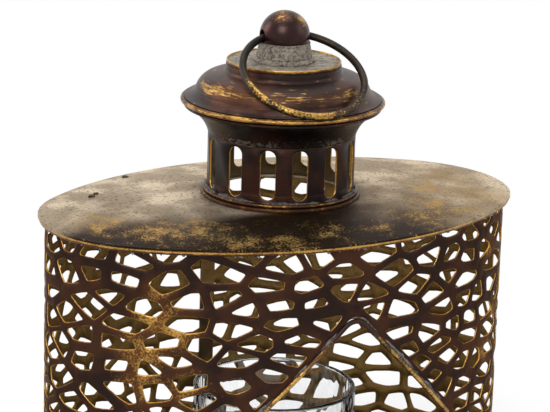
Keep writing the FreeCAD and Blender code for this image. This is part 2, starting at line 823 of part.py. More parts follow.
def make_finial():
    """A ball bored across for the ring, in a cup of solder, held down by a stud through the cap."""
    radius = size.knob_diameter / 2
    bore = doc.addObject("Part::Cylinder", "ring_bore_tool")
    length = size.knob_diameter + size.overrun
    turn = size.ring_turn
    axis = Vector(math.cos(math.radians(plain(turn))), math.sin(math.radians(plain(turn))), 0)
    bore.Placement = Placement(Vector(), Rotation(Vector(0, 0, 1), axis))
    bind(bore, Radius=size.ring_bore / 2, Height=length)
    bind(bore, Placement__Base__x=-(length / 2 * cosine(turn)))
    bind(bore, Placement__Base__y=-(length / 2 * sine(turn)), Placement__Base__z=knob_middle)
    stud_top = knob_middle - size.ring_bore / 2 - size.stud_cover
    seat_cut = cylinder("knob_seat_tool", radius, radius, disc_top - radius)
    socket_foot = disc_top - size.overrun
    socket = cylinder("knob_socket_tool", stud_hole, stud_top + size.fit_gap - socket_foot, socket_foot)
    keep(cut("finial_knob", ball("knob_ball", radius), (bore, seat_cut, socket)), "finial_knob")

    cup = doc.addObject("Part::Cone", "base_cone")
    bind(cup, Radius1=size.base_foot_radius, Radius2=size.base_top_radius, Height=size.base_height)
    bind(cup, Placement__Base__z=disc_top)
    hollow = ball("base_hollow_tool", radius + size.fit_gap / 2)
    through = cylinder("base_hole_tool", stud_hole + size.fit_gap, size.base_height, disc_top)
    keep(cut("finial_base", cup, (hollow, through)), "finial_base")

    inside_top = disc_foot - size.cap_thickness
    stud_foot = inside_top - size.stud_tail
    stud = cylinder("stud", size.stud_diameter / 2, stud_top - stud_foot, stud_foot)
    keep(stud, "finial_stud")
    washer_foot = inside_top - size.washer_thickness
    washer = padded("finial_washer", (size.washer_diameter / 2, stud_hole), size.washer_thickness)
    keep(washer, "finial_washer", washer_foot)
    make_nut(washer_foot - size.nut_height)


def make_nut(foot):
    """A plain hexagon nut under the washer."""
    prism = doc.addObject("Part::Prism", "nut_prism")
    prism.Polygon = 6
    bind(prism, Circumradius=size.nut_flats / root(as_size(3)), Height=size.nut_height)
    bind(prism, Placement__Base__z=foot)
    hole = cylinder("nut_hole_tool", stud_hole, size.nut_height + size.overrun * 2, foot - size.overrun)
    keep(cut("finial_nut", prism, (hole,)), "finial_nut")


def make_ring():
    """The closed wire ring through the ball, lying forward with its front just over the brim's wire."""
    turn, fall = size.ring_turn, size.ring_fall
    ring = bead("carrying_ring", size.ring_radius, size.ring_wire)
    half_bore = size.knob_diameter / 2
    sagitta = size.ring_radius - root(size.ring_radius * size.ring_radius - half_bore * half_bore)
    away = size.ring_radius - sagitta / 2
    spin = Rotation(Vector(0, 0, 1), plain(turn)) * Rotation(Vector(1, 0, 0), plain(fall))
    ring.Placement = Placement(Vector(), spin)
    bind(ring, Placement__Base__x=away * cosine(fall) * sine(turn))
    bind(ring, Placement__Base__y=-(away * cosine(fall) * cosine(turn)))
    bind(ring, Placement__Base__z=knob_middle - away * sine(fall))
    keep(ring, "carrying_ring")


def make_glass():
    """An open glass cylinder with a thick floor, a round heel and a fire-polished rim."""
    outer, wall, heel = size.glass_diameter / 2, size.glass_wall, size.glass_heel
    inner, rim = outer - wall, size.glass_height - wall / 2
    corners = (
        (0, 0),
        (outer - heel, 0),
        (outer, heel, heel),
        (outer, rim),
        (inner, rim, HALF_ROUND),
        (inner, size.glass_floor + heel),
        (inner - heel, size.glass_floor, -heel),
        (0, size.glass_floor),
    )
    keep(revolved("glass_cylinder", corners), "glass_cylinder", size.floor_thickness)


def check(items):
    """Stops at any failed object, and at any sub-part that isn't sound closed solids."""
    for item in doc.Objects:
        if {"Invalid", "Error"} & set(item.State):
            raise SystemExit(f"{item.Label} failed: {item.State}")
    for item in items:
        shape = item.Shape
        if shape.isNull() or not shape.isValid() or not shape.Solids:
            raise SystemExit(f"{item.Label} has no sound solid")


make_floor_pan()
make_wall()
make_seam_strip()
make_window_frame()
make_roof()
make_roof_rim()
make_gallery()
make_collar()
make_cap()
make_disc()
make_finial()
make_ring()
make_glass()
doc.recompute()
check(nodes)
os.makedirs("parts", exist_ok=True)
for node in nodes:
    node.Shape.exportStep(f"parts/{node.Label}.step")
    print(f"{node.Label}: {len(node.Shape.Solids)} solids, {node.Shape.Volume:.0f} mm3")
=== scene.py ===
import math
import random

import bmesh
import bpy
from mathutils import Matrix, Vector, noise


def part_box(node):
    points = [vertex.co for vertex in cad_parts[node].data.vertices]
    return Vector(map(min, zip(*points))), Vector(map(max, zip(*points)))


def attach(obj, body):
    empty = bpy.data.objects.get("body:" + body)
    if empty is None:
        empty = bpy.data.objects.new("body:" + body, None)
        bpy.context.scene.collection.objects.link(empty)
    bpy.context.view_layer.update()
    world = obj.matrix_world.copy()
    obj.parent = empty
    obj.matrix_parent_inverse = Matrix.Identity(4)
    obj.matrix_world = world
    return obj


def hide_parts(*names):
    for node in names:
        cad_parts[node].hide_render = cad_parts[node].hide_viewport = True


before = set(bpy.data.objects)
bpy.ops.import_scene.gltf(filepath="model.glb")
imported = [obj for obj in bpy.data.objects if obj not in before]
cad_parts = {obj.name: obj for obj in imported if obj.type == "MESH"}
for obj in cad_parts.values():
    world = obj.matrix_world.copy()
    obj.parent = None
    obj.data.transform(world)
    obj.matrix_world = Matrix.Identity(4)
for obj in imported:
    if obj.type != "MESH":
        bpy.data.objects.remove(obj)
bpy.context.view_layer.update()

MM = 0.001


# Pierced body sheet
# One long sheet of thin metal, punched with about five hundred holes that leave branches spreading
# from a few knots, then rolled to an oval, browned, and rubbed back to gold along the edges.
HOLE_PITCH = 12.0
PETAL_STRETCH = 1.8
PETAL_RINGS = 15
FIRST_RING, RING_STEP, PETAL_WIDTH, STRAY, LEAST_GAP = 0.80, 1.15, 0.92, 0.16, 0.78  # in pitches
CELL_REACH, SHORT_SIDE, BOWED_SIDE = 1.3, 0.22, 0.4  # in pitches
KNOTS = (  # run along the sheet from the front's middle, and height, in millimetres
    (-126, 168), (-116, 186), (-87, 193), (-78, 174), (-6, 193), (12, 212), (-13, 205), (14, 195),
    (71, 189), (31, 195), (-96, 213), (-146, 190), (112, 160), (128, 205), (-110, 120), (104, 92),
    (-120, 58), (122, 30), (165, 130), (178, 190), (-172, 140), (-176, 70), (196, 60), (-214, 200),
    (-230, 110), (226, 165), (250, 90), (-262, 170), (-276, 50), (272, 212), (300, 140), (-320, 120),
    (-338, 200), (322, 50), (352, 180), (-352, 60), (371, 112), (-374, 150),
)
SHEET_STRIP = 2.6
SEAM_STRIP = 4.0
BRANCH_HALF = (1.9, 3.9)
BRANCH_PATCHES = 0.021
CORNER_RADII = (0.4, 1.2)
ARM_BRANCH, ARM_REACH = 6.24, 20  # the solid edge along the window's gable, and where it starts
SIDE_REACH, SIDE_RISE = 30, 8
LEAST_HOLE = 30
BOW = 0.028
EDGE_ROUND = 0.5
WELD = 0.02 * MM
SEAM_GAP = 0.05
EDGE_STEP = 4.0


def feed(tree, item, inputs):
    """Feeds a node's inputs with values, with sockets, or with the first outputs of other nodes."""
    for key, value in inputs.items():
        if isinstance(value, bpy.types.Node):
            value = value.outputs[0]
        if isinstance(value, bpy.types.NodeSocket):
            tree.links.new(value, item.inputs[key])
        else:
            item.inputs[key].default_value = value


def add_node(tree, kind, inputs=None, **settings):
    """Adds a node, makes its settings and feeds its inputs."""
    item = tree.nodes.new(kind)
    for name, value in settings.items():
        setattr(item, name, value)
    feed(tree, item, inputs or {})
    return item


def maths(tree, operation, *values, kind="Math"):
    """A sum on numbers, or with the kind VectorMath on vectors."""
    return add_node(tree, "ShaderNode" + kind, dict(enumerate(values)), operation=operation)


def noise_on(tree, place, scale, detail, roughness=0.5):
    """Soft random patches, as fine as the scale is large."""
    return add_node(tree, "ShaderNodeTexNoise", {
        "Vector": place, "Scale": scale, "Detail": detail, "Roughness": roughness})


def form_tree(name, sizes):
    """A geometry tree with named sizes, its input sockets and a function that closes it."""
    tree = bpy.data.node_groups.new(name, "GeometryNodeTree")
    tree.interface.new_socket("Geometry", in_out="INPUT", socket_type="NodeSocketGeometry")
    for label in sizes:
        kind = "NodeSocketInt" if label.endswith(("count", "seed")) else "NodeSocketFloat"
        tree.interface.new_socket(label, in_out="INPUT", socket_type=kind)
    tree.interface.new_socket("Finish", in_out="INPUT", socket_type="NodeSocketMaterial")
    tree.interface.new_socket("Geometry", in_out="OUTPUT", socket_type="NodeSocketGeometry")
    start = tree.nodes.new("NodeGroupInput")

    def close(geometry):
        real = add_node(tree, "GeometryNodeRealizeInstances", {"Geometry": geometry})
        done = {"Geometry": real, "Material": start.outputs["Finish"]}
        add_node(tree, "NodeGroupOutput", {"Geometry": add_node(tree, "GeometryNodeSetMaterial", done)})

    return tree, start.outputs, close


def placed_object(name, data):
    """Puts a mesh, a curve, a lamp or a camera into the scene."""
    item = bpy.data.objects.new(name, data)
    bpy.context.scene.collection.objects.link(item)
    return item


def plain_mesh(item):
    """The mesh of an object with its modifiers carried out; the object itself goes."""
    item.update_tag()
    bpy.context.view_layer.update()
    graph = bpy.context.evaluated_depsgraph_get()
    mesh = bpy.data.meshes.new_from_object(item.evaluated_get(graph), depsgraph=graph)
    item.modifiers.clear()
    bpy.data.objects.remove(item)
    return mesh


def formed(name, outlines, tree, finish, level=0.0, **sizes):
    """Runs a tree on closed flat outlines and gives back the result as a plain mesh at a level.

    Each outline is a list of (x, y), and the radius of all its corners or a tuple of radii."""
    curve = bpy.data.curves.new(name, "CURVE")
    curve.dimensions = "3D"
    for points, corners in outlines:
        spline = curve.splines.new("POLY")
        spline.points.add(len(points) - 1)
        radii = corners if isinstance(corners, tuple) else [corners] * len(points)
        for place, point, radius in zip(spline.points, points, radii):
            place.co = (point[0] * MM, point[1] * MM, 0, 1)
            place.radius = radius
        spline.use_cyclic_u = True
    host = placed_object(name, curve)
    modifier = host.modifiers.new(tree.name, "NODES")
    modifier.node_group = tree
    wanted = {label.replace("_", " "): value for label, value in sizes.items()}
    wanted["finish"] = finish
    for item in tree.interface.items_tree:
        if item.item_type == "SOCKET" and item.in_out == "INPUT" and item.name.lower() in wanted:
            modifier[item.identifier] = wanted[item.name.lower()]
    mesh = plain_mesh(host)
    mesh.transform(Matrix.Translation((0, 0, level * MM)))
    return mesh


def rounded_path(tree, path, count):
    """Rounds the corners of a path by the radii, in millimetres, that its points carry."""
    radius = maths(tree, "MULTIPLY", tree.nodes.new("GeometryNodeInputRadius"), MM)
    return add_node(tree, "GeometryNodeFilletCurve", {
        "Curve": path, "Count": count, "Radius": radius, "Limit Radius": True}, mode="POLY")


def drawn_out(tree, mesh, chosen):
    """Extrudes chosen edges by nothing, so that their new points can then be placed."""
    return add_node(tree, "GeometryNodeExtrudeMesh", {
        "Mesh": mesh, "Selection": chosen, "Offset Scale": 0.0}, mode="EDGES")


def pierced_sheet_tree():
    """Fills between outlines, rounds the edges and gives the sheet its thickness, still flat."""
    tree, sizes, close = form_tree("pierced sheet", ("Thickness", "Edge round", "Corner count"))
    rounded = rounded_path(tree, sizes["Geometry"], sizes["Corner count"])
    tangent = tree.nodes.new("GeometryNodeInputTangent")
    inward = maths(tree, "CROSS_PRODUCT", (0, 0, 1), tangent, kind="VectorMath")
    step_in = add_node(tree, "ShaderNodeVectorMath", {0: inward, "Scale": sizes["Edge round"]},
                       operation="SCALE")
    widened = add_node(tree, "GeometryNodeSetPosition", {"Geometry": rounded, "Offset": step_in})
    face = add_node(tree, "GeometryNodeFillCurve", {"Curve": widened}, mode="TRIANGLES")
    half = maths(tree, "MULTIPLY", sizes["Thickness"], 0.5)
    up = add_node(tree, "ShaderNodeCombineXYZ", {"Z": half})
    lifted = add_node(tree, "GeometryNodeTransform", {"Geometry": face, "Translation": up})
    neighbours = tree.nodes.new("GeometryNodeInputMeshEdgeNeighbors")
    border = add_node(tree, "FunctionNodeCompare", {2: neighbours, 3: 1},
                      data_type="INT", operation="EQUAL")
    edge = drawn_out(tree, lifted, border)
    lines = add_node(tree, "GeometryNodeCurveToMesh", {"Curve": rounded})
    nearest = add_node(tree, "GeometryNodeProximity", {"Geometry": lines}, target_element="EDGES")
    flat = add_node(tree, "ShaderNodeSeparateXYZ", {0: nearest.outputs["Position"]})
    shoulder = maths(tree, "SUBTRACT", half, sizes["Edge round"])
    lip = add_node(tree, "ShaderNodeCombineXYZ", {
        "X": flat.outputs["X"], "Y": flat.outputs["Y"], "Z": shoulder})
    shaped = add_node(tree, "GeometryNodeSetPosition", {
        "Geometry": edge, "Selection": edge.outputs["Top"], "Position": lip})
    marked = add_node(tree, "GeometryNodeStoreNamedAttribute", {
        "Geometry": shaped, "Selection": edge.outputs["Top"], "Name": "edge", "Value": 1.0},
        data_type="FLOAT", domain="POINT")
    wall = drawn_out(tree, marked, edge.outputs["Top"])
    place = tree.nodes.new("GeometryNodeInputPosition")
    down = maths(tree, "MULTIPLY", place, (1, 1, -1), kind="VectorMath")
    sunk = add_node(tree, "GeometryNodeSetPosition", {
        "Geometry": wall, "Selection": wall.outputs["Top"], "Position": down})
    under = add_node(tree, "GeometryNodeTransform", {"Geometry": marked, "Scale": (1, 1, -1)})
    turned_over = add_node(tree, "GeometryNodeFlipFaces", {"Mesh": under})
    both = tree.nodes.new("GeometryNodeJoinGeometry")
    for part in (turned_over, sunk):
        feed(tree, both, {0: part})
    close(add_node(tree, "GeometryNodeMergeByDistance", {"Geometry": both, "Distance": WELD}))
    return tree


def object_place(tree):
    """The place that a pattern reads, in the object's own coordinates."""
    return tree.nodes.new("ShaderNodeTexCoord").outputs["Object"]


def soft_step(tree, value, low, high):
    """0 below one value, 1 above another, and a smooth change between them."""
    return add_node(tree, "ShaderNodeMapRange", {"Value": value, "From Min": low, "From Max": high},
                    interpolation_type="SMOOTHSTEP")


def patina_group():
    """Where the gold shows through, how the brown clouds over, and the skin's fine relief."""
    group = bpy.data.node_groups.new("patina", "ShaderNodeTree")
    given = {"Rubbed": 0.0, "Grain": 900.0, "Streak": 1.0, "Breakup": 0.7, "Speckle": 0.0}
    for label, value in given.items():
        socket = group.interface.new_socket(label, in_out="INPUT", socket_type="NodeSocketFloat")
        socket.default_value = value
    for label in ("Gilded", "Cloud", "Relief", "Specks"):
        group.interface.new_socket(label, in_out="OUTPUT", socket_type="NodeSocketFloat")
    given = group.nodes.new("NodeGroupInput").outputs
    place = object_place(group)
    stretch = add_node(group, "ShaderNodeCombineXYZ", {"X": 1.0, "Y": 1.0, "Z": given["Streak"]})
    streaked = maths(group, "MULTIPLY", place, stretch, kind="VectorMath")
    grain = noise_on(group, streaked, given["Grain"], 5.0, 0.65)
    fine = maths(group, "SUBTRACT", grain, 0.5)
    coarse = maths(group, "SUBTRACT", noise_on(group, place, 95.0, 3.0, 0.6), 0.5)
    mixed = maths(group, "MULTIPLY_ADD", fine, 1.5, coarse)
    spread = maths(group, "MULTIPLY_ADD", mixed, given["Breakup"], given["Rubbed"])
    specks = maths(group, "ADD", noise_on(group, place, 520.0, 2.0, 0.7), given["Speckle"])
    add_node(group, "NodeGroupOutput", {
        "Gilded": soft_step(group, spread, 0.36, 0.76), "Cloud": noise_on(group, place, 38.0, 4.0, 0.55),
        "Relief": grain, "Specks": soft_step(group, specks, 0.62, 0.74)})
    return group


patina = patina_group()
DARK_BROWN = (0.022, 0.012, 0.010, 1)
RED_BROWN = (0.050, 0.021, 0.012, 1)
TAN = (0.150, 0.055, 0.016, 1)
GOLD = (0.52, 0.290, 0.066, 1)
OLIVE = (0.190, 0.113, 0.036, 1)


def mixed_colour(tree, share, first, second):
    """Mixes two colours, either of which may be a socket."""
    return add_node(tree, "ShaderNodeMix", {0: share, 6: first, 7: second}, data_type="RGBA").outputs[2]


def attribute(tree, name):
    """A number that each point of the mesh carries."""
    return add_node(tree, "ShaderNodeAttribute", attribute_name=name).outputs["Fac"]


def new_material(name):
    """A new material, its tree and its Principled BSDF."""
    material = bpy.data.materials.new(name)
    material.use_nodes = True
    return material, material.node_tree, material.node_tree.nodes["Principled BSDF"]


def bumped(tree, height, strength, distance):
    """A normal that follows a fine relief."""
    return add_node(tree, "ShaderNodeBump", {"Height": height, "Strength": strength, "Distance": distance})


def browned_metal(name, dark=DARK_BROWN, warm=RED_BROWN, gold=GOLD, halo=TAN, inside=None, specks=None,
                  grain=900.0, streak=1.0, breakup=0.7, relief=0.25, roughness=(0.42, 0.34), **skin_values):
    """Dark browned metal whose rubbed places show gold, with clouds, streaks and fine specks.

    Specks are their colour and how many there are, or the attribute that says where they lie."""
    material, tree, skin = new_material(name)
    rubbed = attribute(tree, "rubbed")
    wear = add_node(tree, "ShaderNodeGroup", {
        "Rubbed": rubbed, "Grain": grain, "Streak": streak, "Breakup": breakup}, node_tree=patina)
    warmth = soft_step(tree, wear.outputs["Cloud"], 0.42, 0.66)
    colour = mixed_colour(tree, warmth, dark, warm)
    thinned = add_node(tree, "ShaderNodeMapRange", {
        "Value": rubbed, "From Min": 0.18, "From Max": 0.62, "To Max": 0.75})
    colour = mixed_colour(tree, thinned, colour, halo)
    if specks:
        shown, amount = specks
        feed(tree, wear, {"Speckle": attribute(tree, amount) if isinstance(amount, str) else amount})
        colour = mixed_colour(tree, wear.outputs["Specks"], colour, shown)
    # A second colour mixed in by a mask: the inner face's own colour on rolled sheet, and painted shade with
    # a dark reflection on the roof.
    if inside:
        colour = mixed_colour(tree, attribute(tree, "inside"), colour, inside)
    rough = add_node(tree, "ShaderNodeMapRange", {
        "Value": wear.outputs["Gilded"], "To Min": roughness[0], "To Max": roughness[1]})
    feed(tree, skin, {
        "Base Color": mixed_colour(tree, wear.outputs["Gilded"], colour, gold), "Roughness": rough,
        "Metallic": 0.85, "Normal": bumped(tree, wear.outputs["Relief"], relief, 0.0006)})
    feed(tree, skin, {label.replace("_", " "): value for label, value in skin_values.items()})
    return material


def stored(mesh, name, values):
    """Stores a number on each point of a mesh."""
    mesh.attributes.new(name, "FLOAT", "POINT").data.foreach_set("value", values)


def spread_on(mesh, name, worth):
    """Stores a number from 0 to 1, worked out from where each point lies."""
    stored(mesh, name, [min(1.0, max(0.0, worth(vertex.co))) for vertex in mesh.vertices])


def mark_sheet(mesh, worth, outer_edge, inner_edge):
    """Marks a sheet while it's flat: how rubbed it is, more so at its edges, and what lies inside."""
    edges = [item.value for item in mesh.attributes["edge"].data]
    outside = [vertex.co.z > 0 for vertex in mesh.vertices]
    stored(mesh, "rubbed", [worth(vertex.co) + edge * (outer_edge if out else inner_edge)
                            for vertex, edge, out in zip(mesh.vertices, edges, outside)])
    stored(mesh, "inside", [0.0 if out else 1.0 for out in outside])


def finished(name, mesh, slot, stands_for=(), body="lantern", crease=35, **marks):
    """Marks a mesh, makes it one piece with its normals outward, and puts it on its body."""
    for mark, worth in marks.items():
        spread_on(mesh, mark, worth)
    work = bmesh.new()
    work.from_mesh(mesh)
    bmesh.ops.recalc_face_normals(work, faces=work.faces)
    work.to_mesh(mesh)
    work.free()
    mesh.shade_smooth()
    mesh.set_sharp_from_angle(angle=math.radians(crease))
    piece = placed_object(name, mesh)
    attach(piece, body)
    if stands_for:
        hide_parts(*stands_for)


class OvalPath:
    """The oval that the sheet is rolled to: two flat side arcs and two round end arcs."""

    def __init__(self, length, width, end_radius):
        self.end_radius = end_radius
        self.end_middle = length / 2 - end_radius
        side_over_end = width / 2 - end_radius
        self.side_radius = (self.end_middle**2 + (width / 2) ** 2 - end_radius**2) / (2 * side_over_end)
        self.side_middle = self.side_radius - width / 2
        self.side_angle = math.atan2(self.end_middle, self.side_middle)
        self.side_run = self.side_radius * self.side_angle
        self.end_run = end_radius * (math.pi / 2 - self.side_angle)
        self.half = 2 * (self.side_run + self.end_run)

    def place(self, run, height, out=0.0):
        """The point at a run from the front's middle, a height and a distance outside."""
        ahead = min(abs(run), self.half)
        if ahead <= self.side_run:
            middle, radius, turn = (0, self.side_middle), self.side_radius, ahead / self.side_radius
        elif ahead <= self.side_run + 2 * self.end_run:
            middle, radius = (self.end_middle, 0), self.end_radius
            turn = self.side_angle + (ahead - self.side_run) / radius
        else:
            middle, radius = (0, -self.side_middle), self.side_radius
            turn = math.pi - (self.half - ahead) / radius
        x = middle[0] + math.sin(turn) * (radius + out)
        y = middle[1] - math.cos(turn) * (radius + out)
        return Vector((math.copysign(x, run), y, height))

    def run_at(self, across):
        """The run at a place on the front, seen square from the front."""
        return self.side_radius * math.asin(across / self.side_radius)


ROOF_OVERHANG = 4.0
ROOF_END_RADIUS = 72.0
SHEET_THICKNESS = 1.2
roof_low, roof_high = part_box("roof")
wall_low, wall_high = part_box("wall")
WALL_HEIGHT = (wall_high.z - wall_low.z) / MM
ROOF_LENGTH = (roof_high.x - roof_low.x) / MM
ROOF_WIDTH = (roof_high.y - roof_low.y) / MM
inset = ROOF_OVERHANG + SHEET_THICKNESS / 2
wall_oval = OvalPath(ROOF_LENGTH - 2 * inset, ROOF_WIDTH - 2 * inset, ROOF_END_RADIUS - inset)
roof_oval = OvalPath(ROOF_LENGTH, ROOF_WIDTH, ROOF_END_RADIUS)

WINDOW_HALF = 75.0
WINDOW_SILL = 6.0
WINDOW_PEAK = 187.5
ROD_ROOM = 1.55
opening_side = wall_oval.run_at(WINDOW_HALF + ROD_ROOM)
opening_sill = WINDOW_SILL - ROD_ROOM
opening_peak = WINDOW_PEAK + ROD_ROOM * math.sqrt(2)
opening_eave = opening_peak - (WINDOW_HALF + ROD_ROOM)


def clipped(cell, point, inward):
    """A convex cell with what lies behind a line cut off; the line's inward side is kept."""
    kept = []
    for index, corner in enumerate(cell):
        before = cell[index - 1]
        depths = [(p[0] - point[0]) * inward[0] + (p[1] - point[1]) * inward[1] for p in (before, corner)]
        if (depths[0] < 0) != (depths[1] < 0):
            share = depths[0] / (depths[0] - depths[1])
            kept.append(tuple(a + (b - a) * share for a, b in zip(before, corner)))
        if depths[1] >= 0:
            kept.append(corner)
    return kept


def hole_middles(chance):
    """Middles of the holes: rings of petals round each knot, out to where the next knot's begin.

    Their runs are given squeezed, so that the petals come out longer than high."""
    middles, grid = [], {}
    knots = [(run / PETAL_STRETCH, height) for run, height in KNOTS]

    def square(place):
        return int(place[0] // HOLE_PITCH), int(place[1] // HOLE_PITCH)

    def room(place):
        column, row = square(place)
        squares = [(column + i, row + j) for i in (-1, 0, 1) for j in (-1, 0, 1)]
        others = (other for key in squares for other in grid.get(key, ()))
        return min((math.dist(other, place) for other in others), default=HOLE_PITCH)

    for ring in range(PETAL_RINGS):
        radius = HOLE_PITCH * (FIRST_RING + RING_STEP * ring)
        count = max(6, round(2 * math.pi * radius / (HOLE_PITCH * PETAL_WIDTH)))
        for knot in knots:
            start = chance.random() * 2 * math.pi
            for step in range(count):
                angle = start + 2 * math.pi * step / count
                reach = radius + HOLE_PITCH * STRAY * (2 * chance.random() - 1)
                place = (knot[0] + reach * math.cos(angle), knot[1] + reach * math.sin(angle))
                run, height = abs(place[0]) * PETAL_STRETCH, place[1]
                in_window = run < opening_side and height < opening_peak - run
                if not (run < wall_oval.half and 0 < height < WALL_HEIGHT) or in_window:
                    continue
                nearest = min(math.dist(other, place) for other in knots)
                if nearest > radius - HOLE_PITCH / 2 and room(place) > HOLE_PITCH * LEAST_GAP:
                    middles.append(place)
                    grid.setdefault(square(place), []).append(place)
    return middles


def branch_half(first, second):
    """Half the width of the branch between two holes, the same seen from either."""
    between = Vector((first[0] + second[0], first[1] + second[1], 0))
    share = min(1.0, max(0.0, 0.5 + noise.noise(between * BRANCH_PATCHES)))
    return BRANCH_HALF[0] + (BRANCH_HALF[1] - BRANCH_HALF[0]) * share


def hole_outline(middle, middles):
    """The hole round one middle: what is nearer to it than to the others, less half a branch."""
    reach = HOLE_PITCH * CELL_REACH
    cell = [(middle[0] + a * reach, middle[1] + b * reach) for a, b in ((-1, -1), (1, -1), (1, 1), (-1, 1))]
    for other in middles:
        gap = math.dist(other, middle)
        if 0 < gap < 2 * reach:
            inward = tuple((m - o) / gap for m, o in zip(middle, other))
            half = branch_half(middle, other) * math.hypot(inward[0] / PETAL_STRETCH, inward[1])
            cell = clipped(cell, [(a + b) / 2 + i * half for a, b, i in zip(middle, other, inward)], inward)
    cell = [(a * PETAL_STRETCH, b) for a, b in cell]
    run, height = middle[0] * PETAL_STRETCH, middle[1]
    side = math.copysign(1, run)
    cell = clipped(cell, (0, SHEET_STRIP), (0, 1))
    cell = clipped(cell, (0, WALL_HEIGHT - SHEET_STRIP), (0, -1))
    cell = clipped(cell, (side * (wall_oval.half - SEAM_STRIP), 0), (-side, 0))
    if height > opening_eave - abs(abs(run) - opening_side) and abs(run) < opening_side + ARM_REACH:
        cell = clipped(cell, (0, opening_peak + ARM_BRANCH), (side, 1))
    if not (abs(run) < opening_side and height > opening_eave):
        if abs(run) < opening_side + SIDE_REACH and height < opening_eave + SIDE_RISE:
            cell = clipped(cell, (side * (opening_side + BRANCH_HALF[1]), 0), (side, 0))
    while len(cell) > 3:
        lengths = [math.dist(cell[index - 1], cell[index]) for index in range(len(cell))]
        shortest = lengths.index(min(lengths))
        if lengths[shortest] > HOLE_PITCH * SHORT_SIDE and len(cell) <= 5:
            break
        cell[shortest] = tuple((a + b) / 2 for a, b in zip(cell[shortest - 1], cell[shortest]))
        cell.pop(shortest - 1)
    return cell if len(cell) > 2 and abs(signed_area(cell)) > LEAST_HOLE else []


def signed_area(points):
    """The area inside a closed outline, below zero where it runs clockwise."""
    return sum(a[0] * b[1] - b[0] * a[1] for a, b in zip(points, points[1:] + points[:1])) / 2


def clockwise(points):
    """The same outline, run clockwise."""
    return points if signed_area(points) < 0 else points[::-1]


def bowed(cell):
    """A hole's outline with its long sides bowed outward, which leaves branches thinnest midway."""
    points = []
    for first, last in zip(cell, cell[1:] + cell[:1]):
        length = math.dist(first, last)
        out = ((last[1] - first[1]) / length, (first[0] - last[0]) / length)
        points.append(first)
        if length > HOLE_PITCH * BOWED_SIDE:
            for share in (0.3, 0.7):
                points.append(tuple(a + (b - a) * share + o * length * BOW
                                    for a, b, o in zip(first, last, out)))
    return points


def stepped(points, step):
    """A closed outline with points added so that none of its sides is longer than a step."""
    dense = []
    for first, last in zip(points, points[1:] + points[:1]):
        count = max(1, round(math.dist(first, last) / step))
        dense += [tuple(a + (b - a) * i / count for a, b in zip(first, last)) for i in range(count)]
    return dense


def rolled(mesh, placed):
    """Bends a flat mesh: its x is the run, its y the height and its z the distance outside."""
    for vertex in mesh.vertices:
        vertex.co = placed(vertex.co.x / MM, vertex.co.y / MM, vertex.co.z / MM) * MM


def nearness(x, y, patches):
    """How near a point is to the nearest of some patches, each with its place and its reach."""
    return max(math.exp(-((x - a) ** 2 + (y - b) ** 2) / (2 * r * r)) for a, b, r in patches)


chance = random.Random(11)
middles = hole_middles(chance)
holes = [clockwise(bowed(cell)) for cell in (hole_outline(middle, middles) for middle in middles) if cell]
half = wall_oval.half - SEAM_GAP
border = stepped([(-half, 0), (half, 0), (half, WALL_HEIGHT), (-half, WALL_HEIGHT)], EDGE_STEP)
PEAK_BEND = 6.4  # half the width of the opening's rounded peak
slope = (opening_peak - opening_eave) / opening_side
peak_bend = [(x, opening_peak - slope * (PEAK_BEND / 2 + x * x / (2 * PEAK_BEND)))
             for x in (-PEAK_BEND, -4, -2, 0, 2, 4, PEAK_BEND)]
window = [(-opening_side, opening_sill), (-opening_side, opening_eave), *peak_bend,
          (opening_side, opening_eave), (opening_side, opening_sill)]
outlines = [(border, 0.0), (stepped(clockwise(window), EDGE_STEP), 0.0)]
outlines += [(cell, chance.uniform(*CORNER_RADII)) for cell in holes]
pierced_sheet = pierced_sheet_tree()
sheet_finish = browned_metal("browned pierced sheet", inside=OLIVE, Specular_Tint=(0.55, 0.45, 0.38, 1))
body_mesh = formed("body_outlines", outlines, pierced_sheet, sheet_finish,
                   thickness=SHEET_THICKNESS * MM, edge_round=EDGE_ROUND * MM, corner_count=2)
RUBBED_KNOTS = (  # run, height and reach, in millimetres
    (-126, 168, 12), (-116, 186, 13), (-126, 150, 10), (-104, 180, 9), (-118, 205, 7),
    (-100, 150, 9), (118, 205, 6), (130, 160, 8), (120, 140, 7),
)
OUTER_EDGE, INNER_EDGE = 0.74, 0.36  # how much more rubbed the holes' edges are
mark_sheet(body_mesh, lambda p: 0.12 + 0.40 * nearness(p.x / MM, p.y / MM, RUBBED_KNOTS),
           OUTER_EDGE, INNER_EDGE)
rolled(body_mesh, wall_oval.place)
finished("pierced_body_sheet", body_mesh, "bronzed_sheet", ["wall"], crease=50)


# Floor pan and back seam
# The pan is pressed from plain sheet and closes the bottom; a narrow strip inside the back covers
# the joint of the rolled sheet. Both keep their own solids and get the browned finish.
def dressed(nodes, finish):
    """Gives a finish to nodes that keep their own solids."""
    for node in nodes:
        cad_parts[node].data.materials.clear()
        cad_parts[node].data.materials.append(finish)


dressed(("floor_pan", "back_seam_strip"), browned_metal(
    "browned plain sheet", dark=(0.060, 0.036, 0.016, 1), warm=OLIVE, breakup=0.5))


# Window rod
# A round rod bent to a gabled outline and soldered into the edge of the sheet, with the peak bent
# round. Its front is rubbed bright, and grey solder is smeared along its outer side.
ROD_RADIUS = 1.5
ROD_PEAK_BEND = 9.0
ROD_CORNER_BEND = 3.0
ROD_STEP = 2.0
SMEAR_GAP = 1.9
SMEAR_RADIUS = 0.9


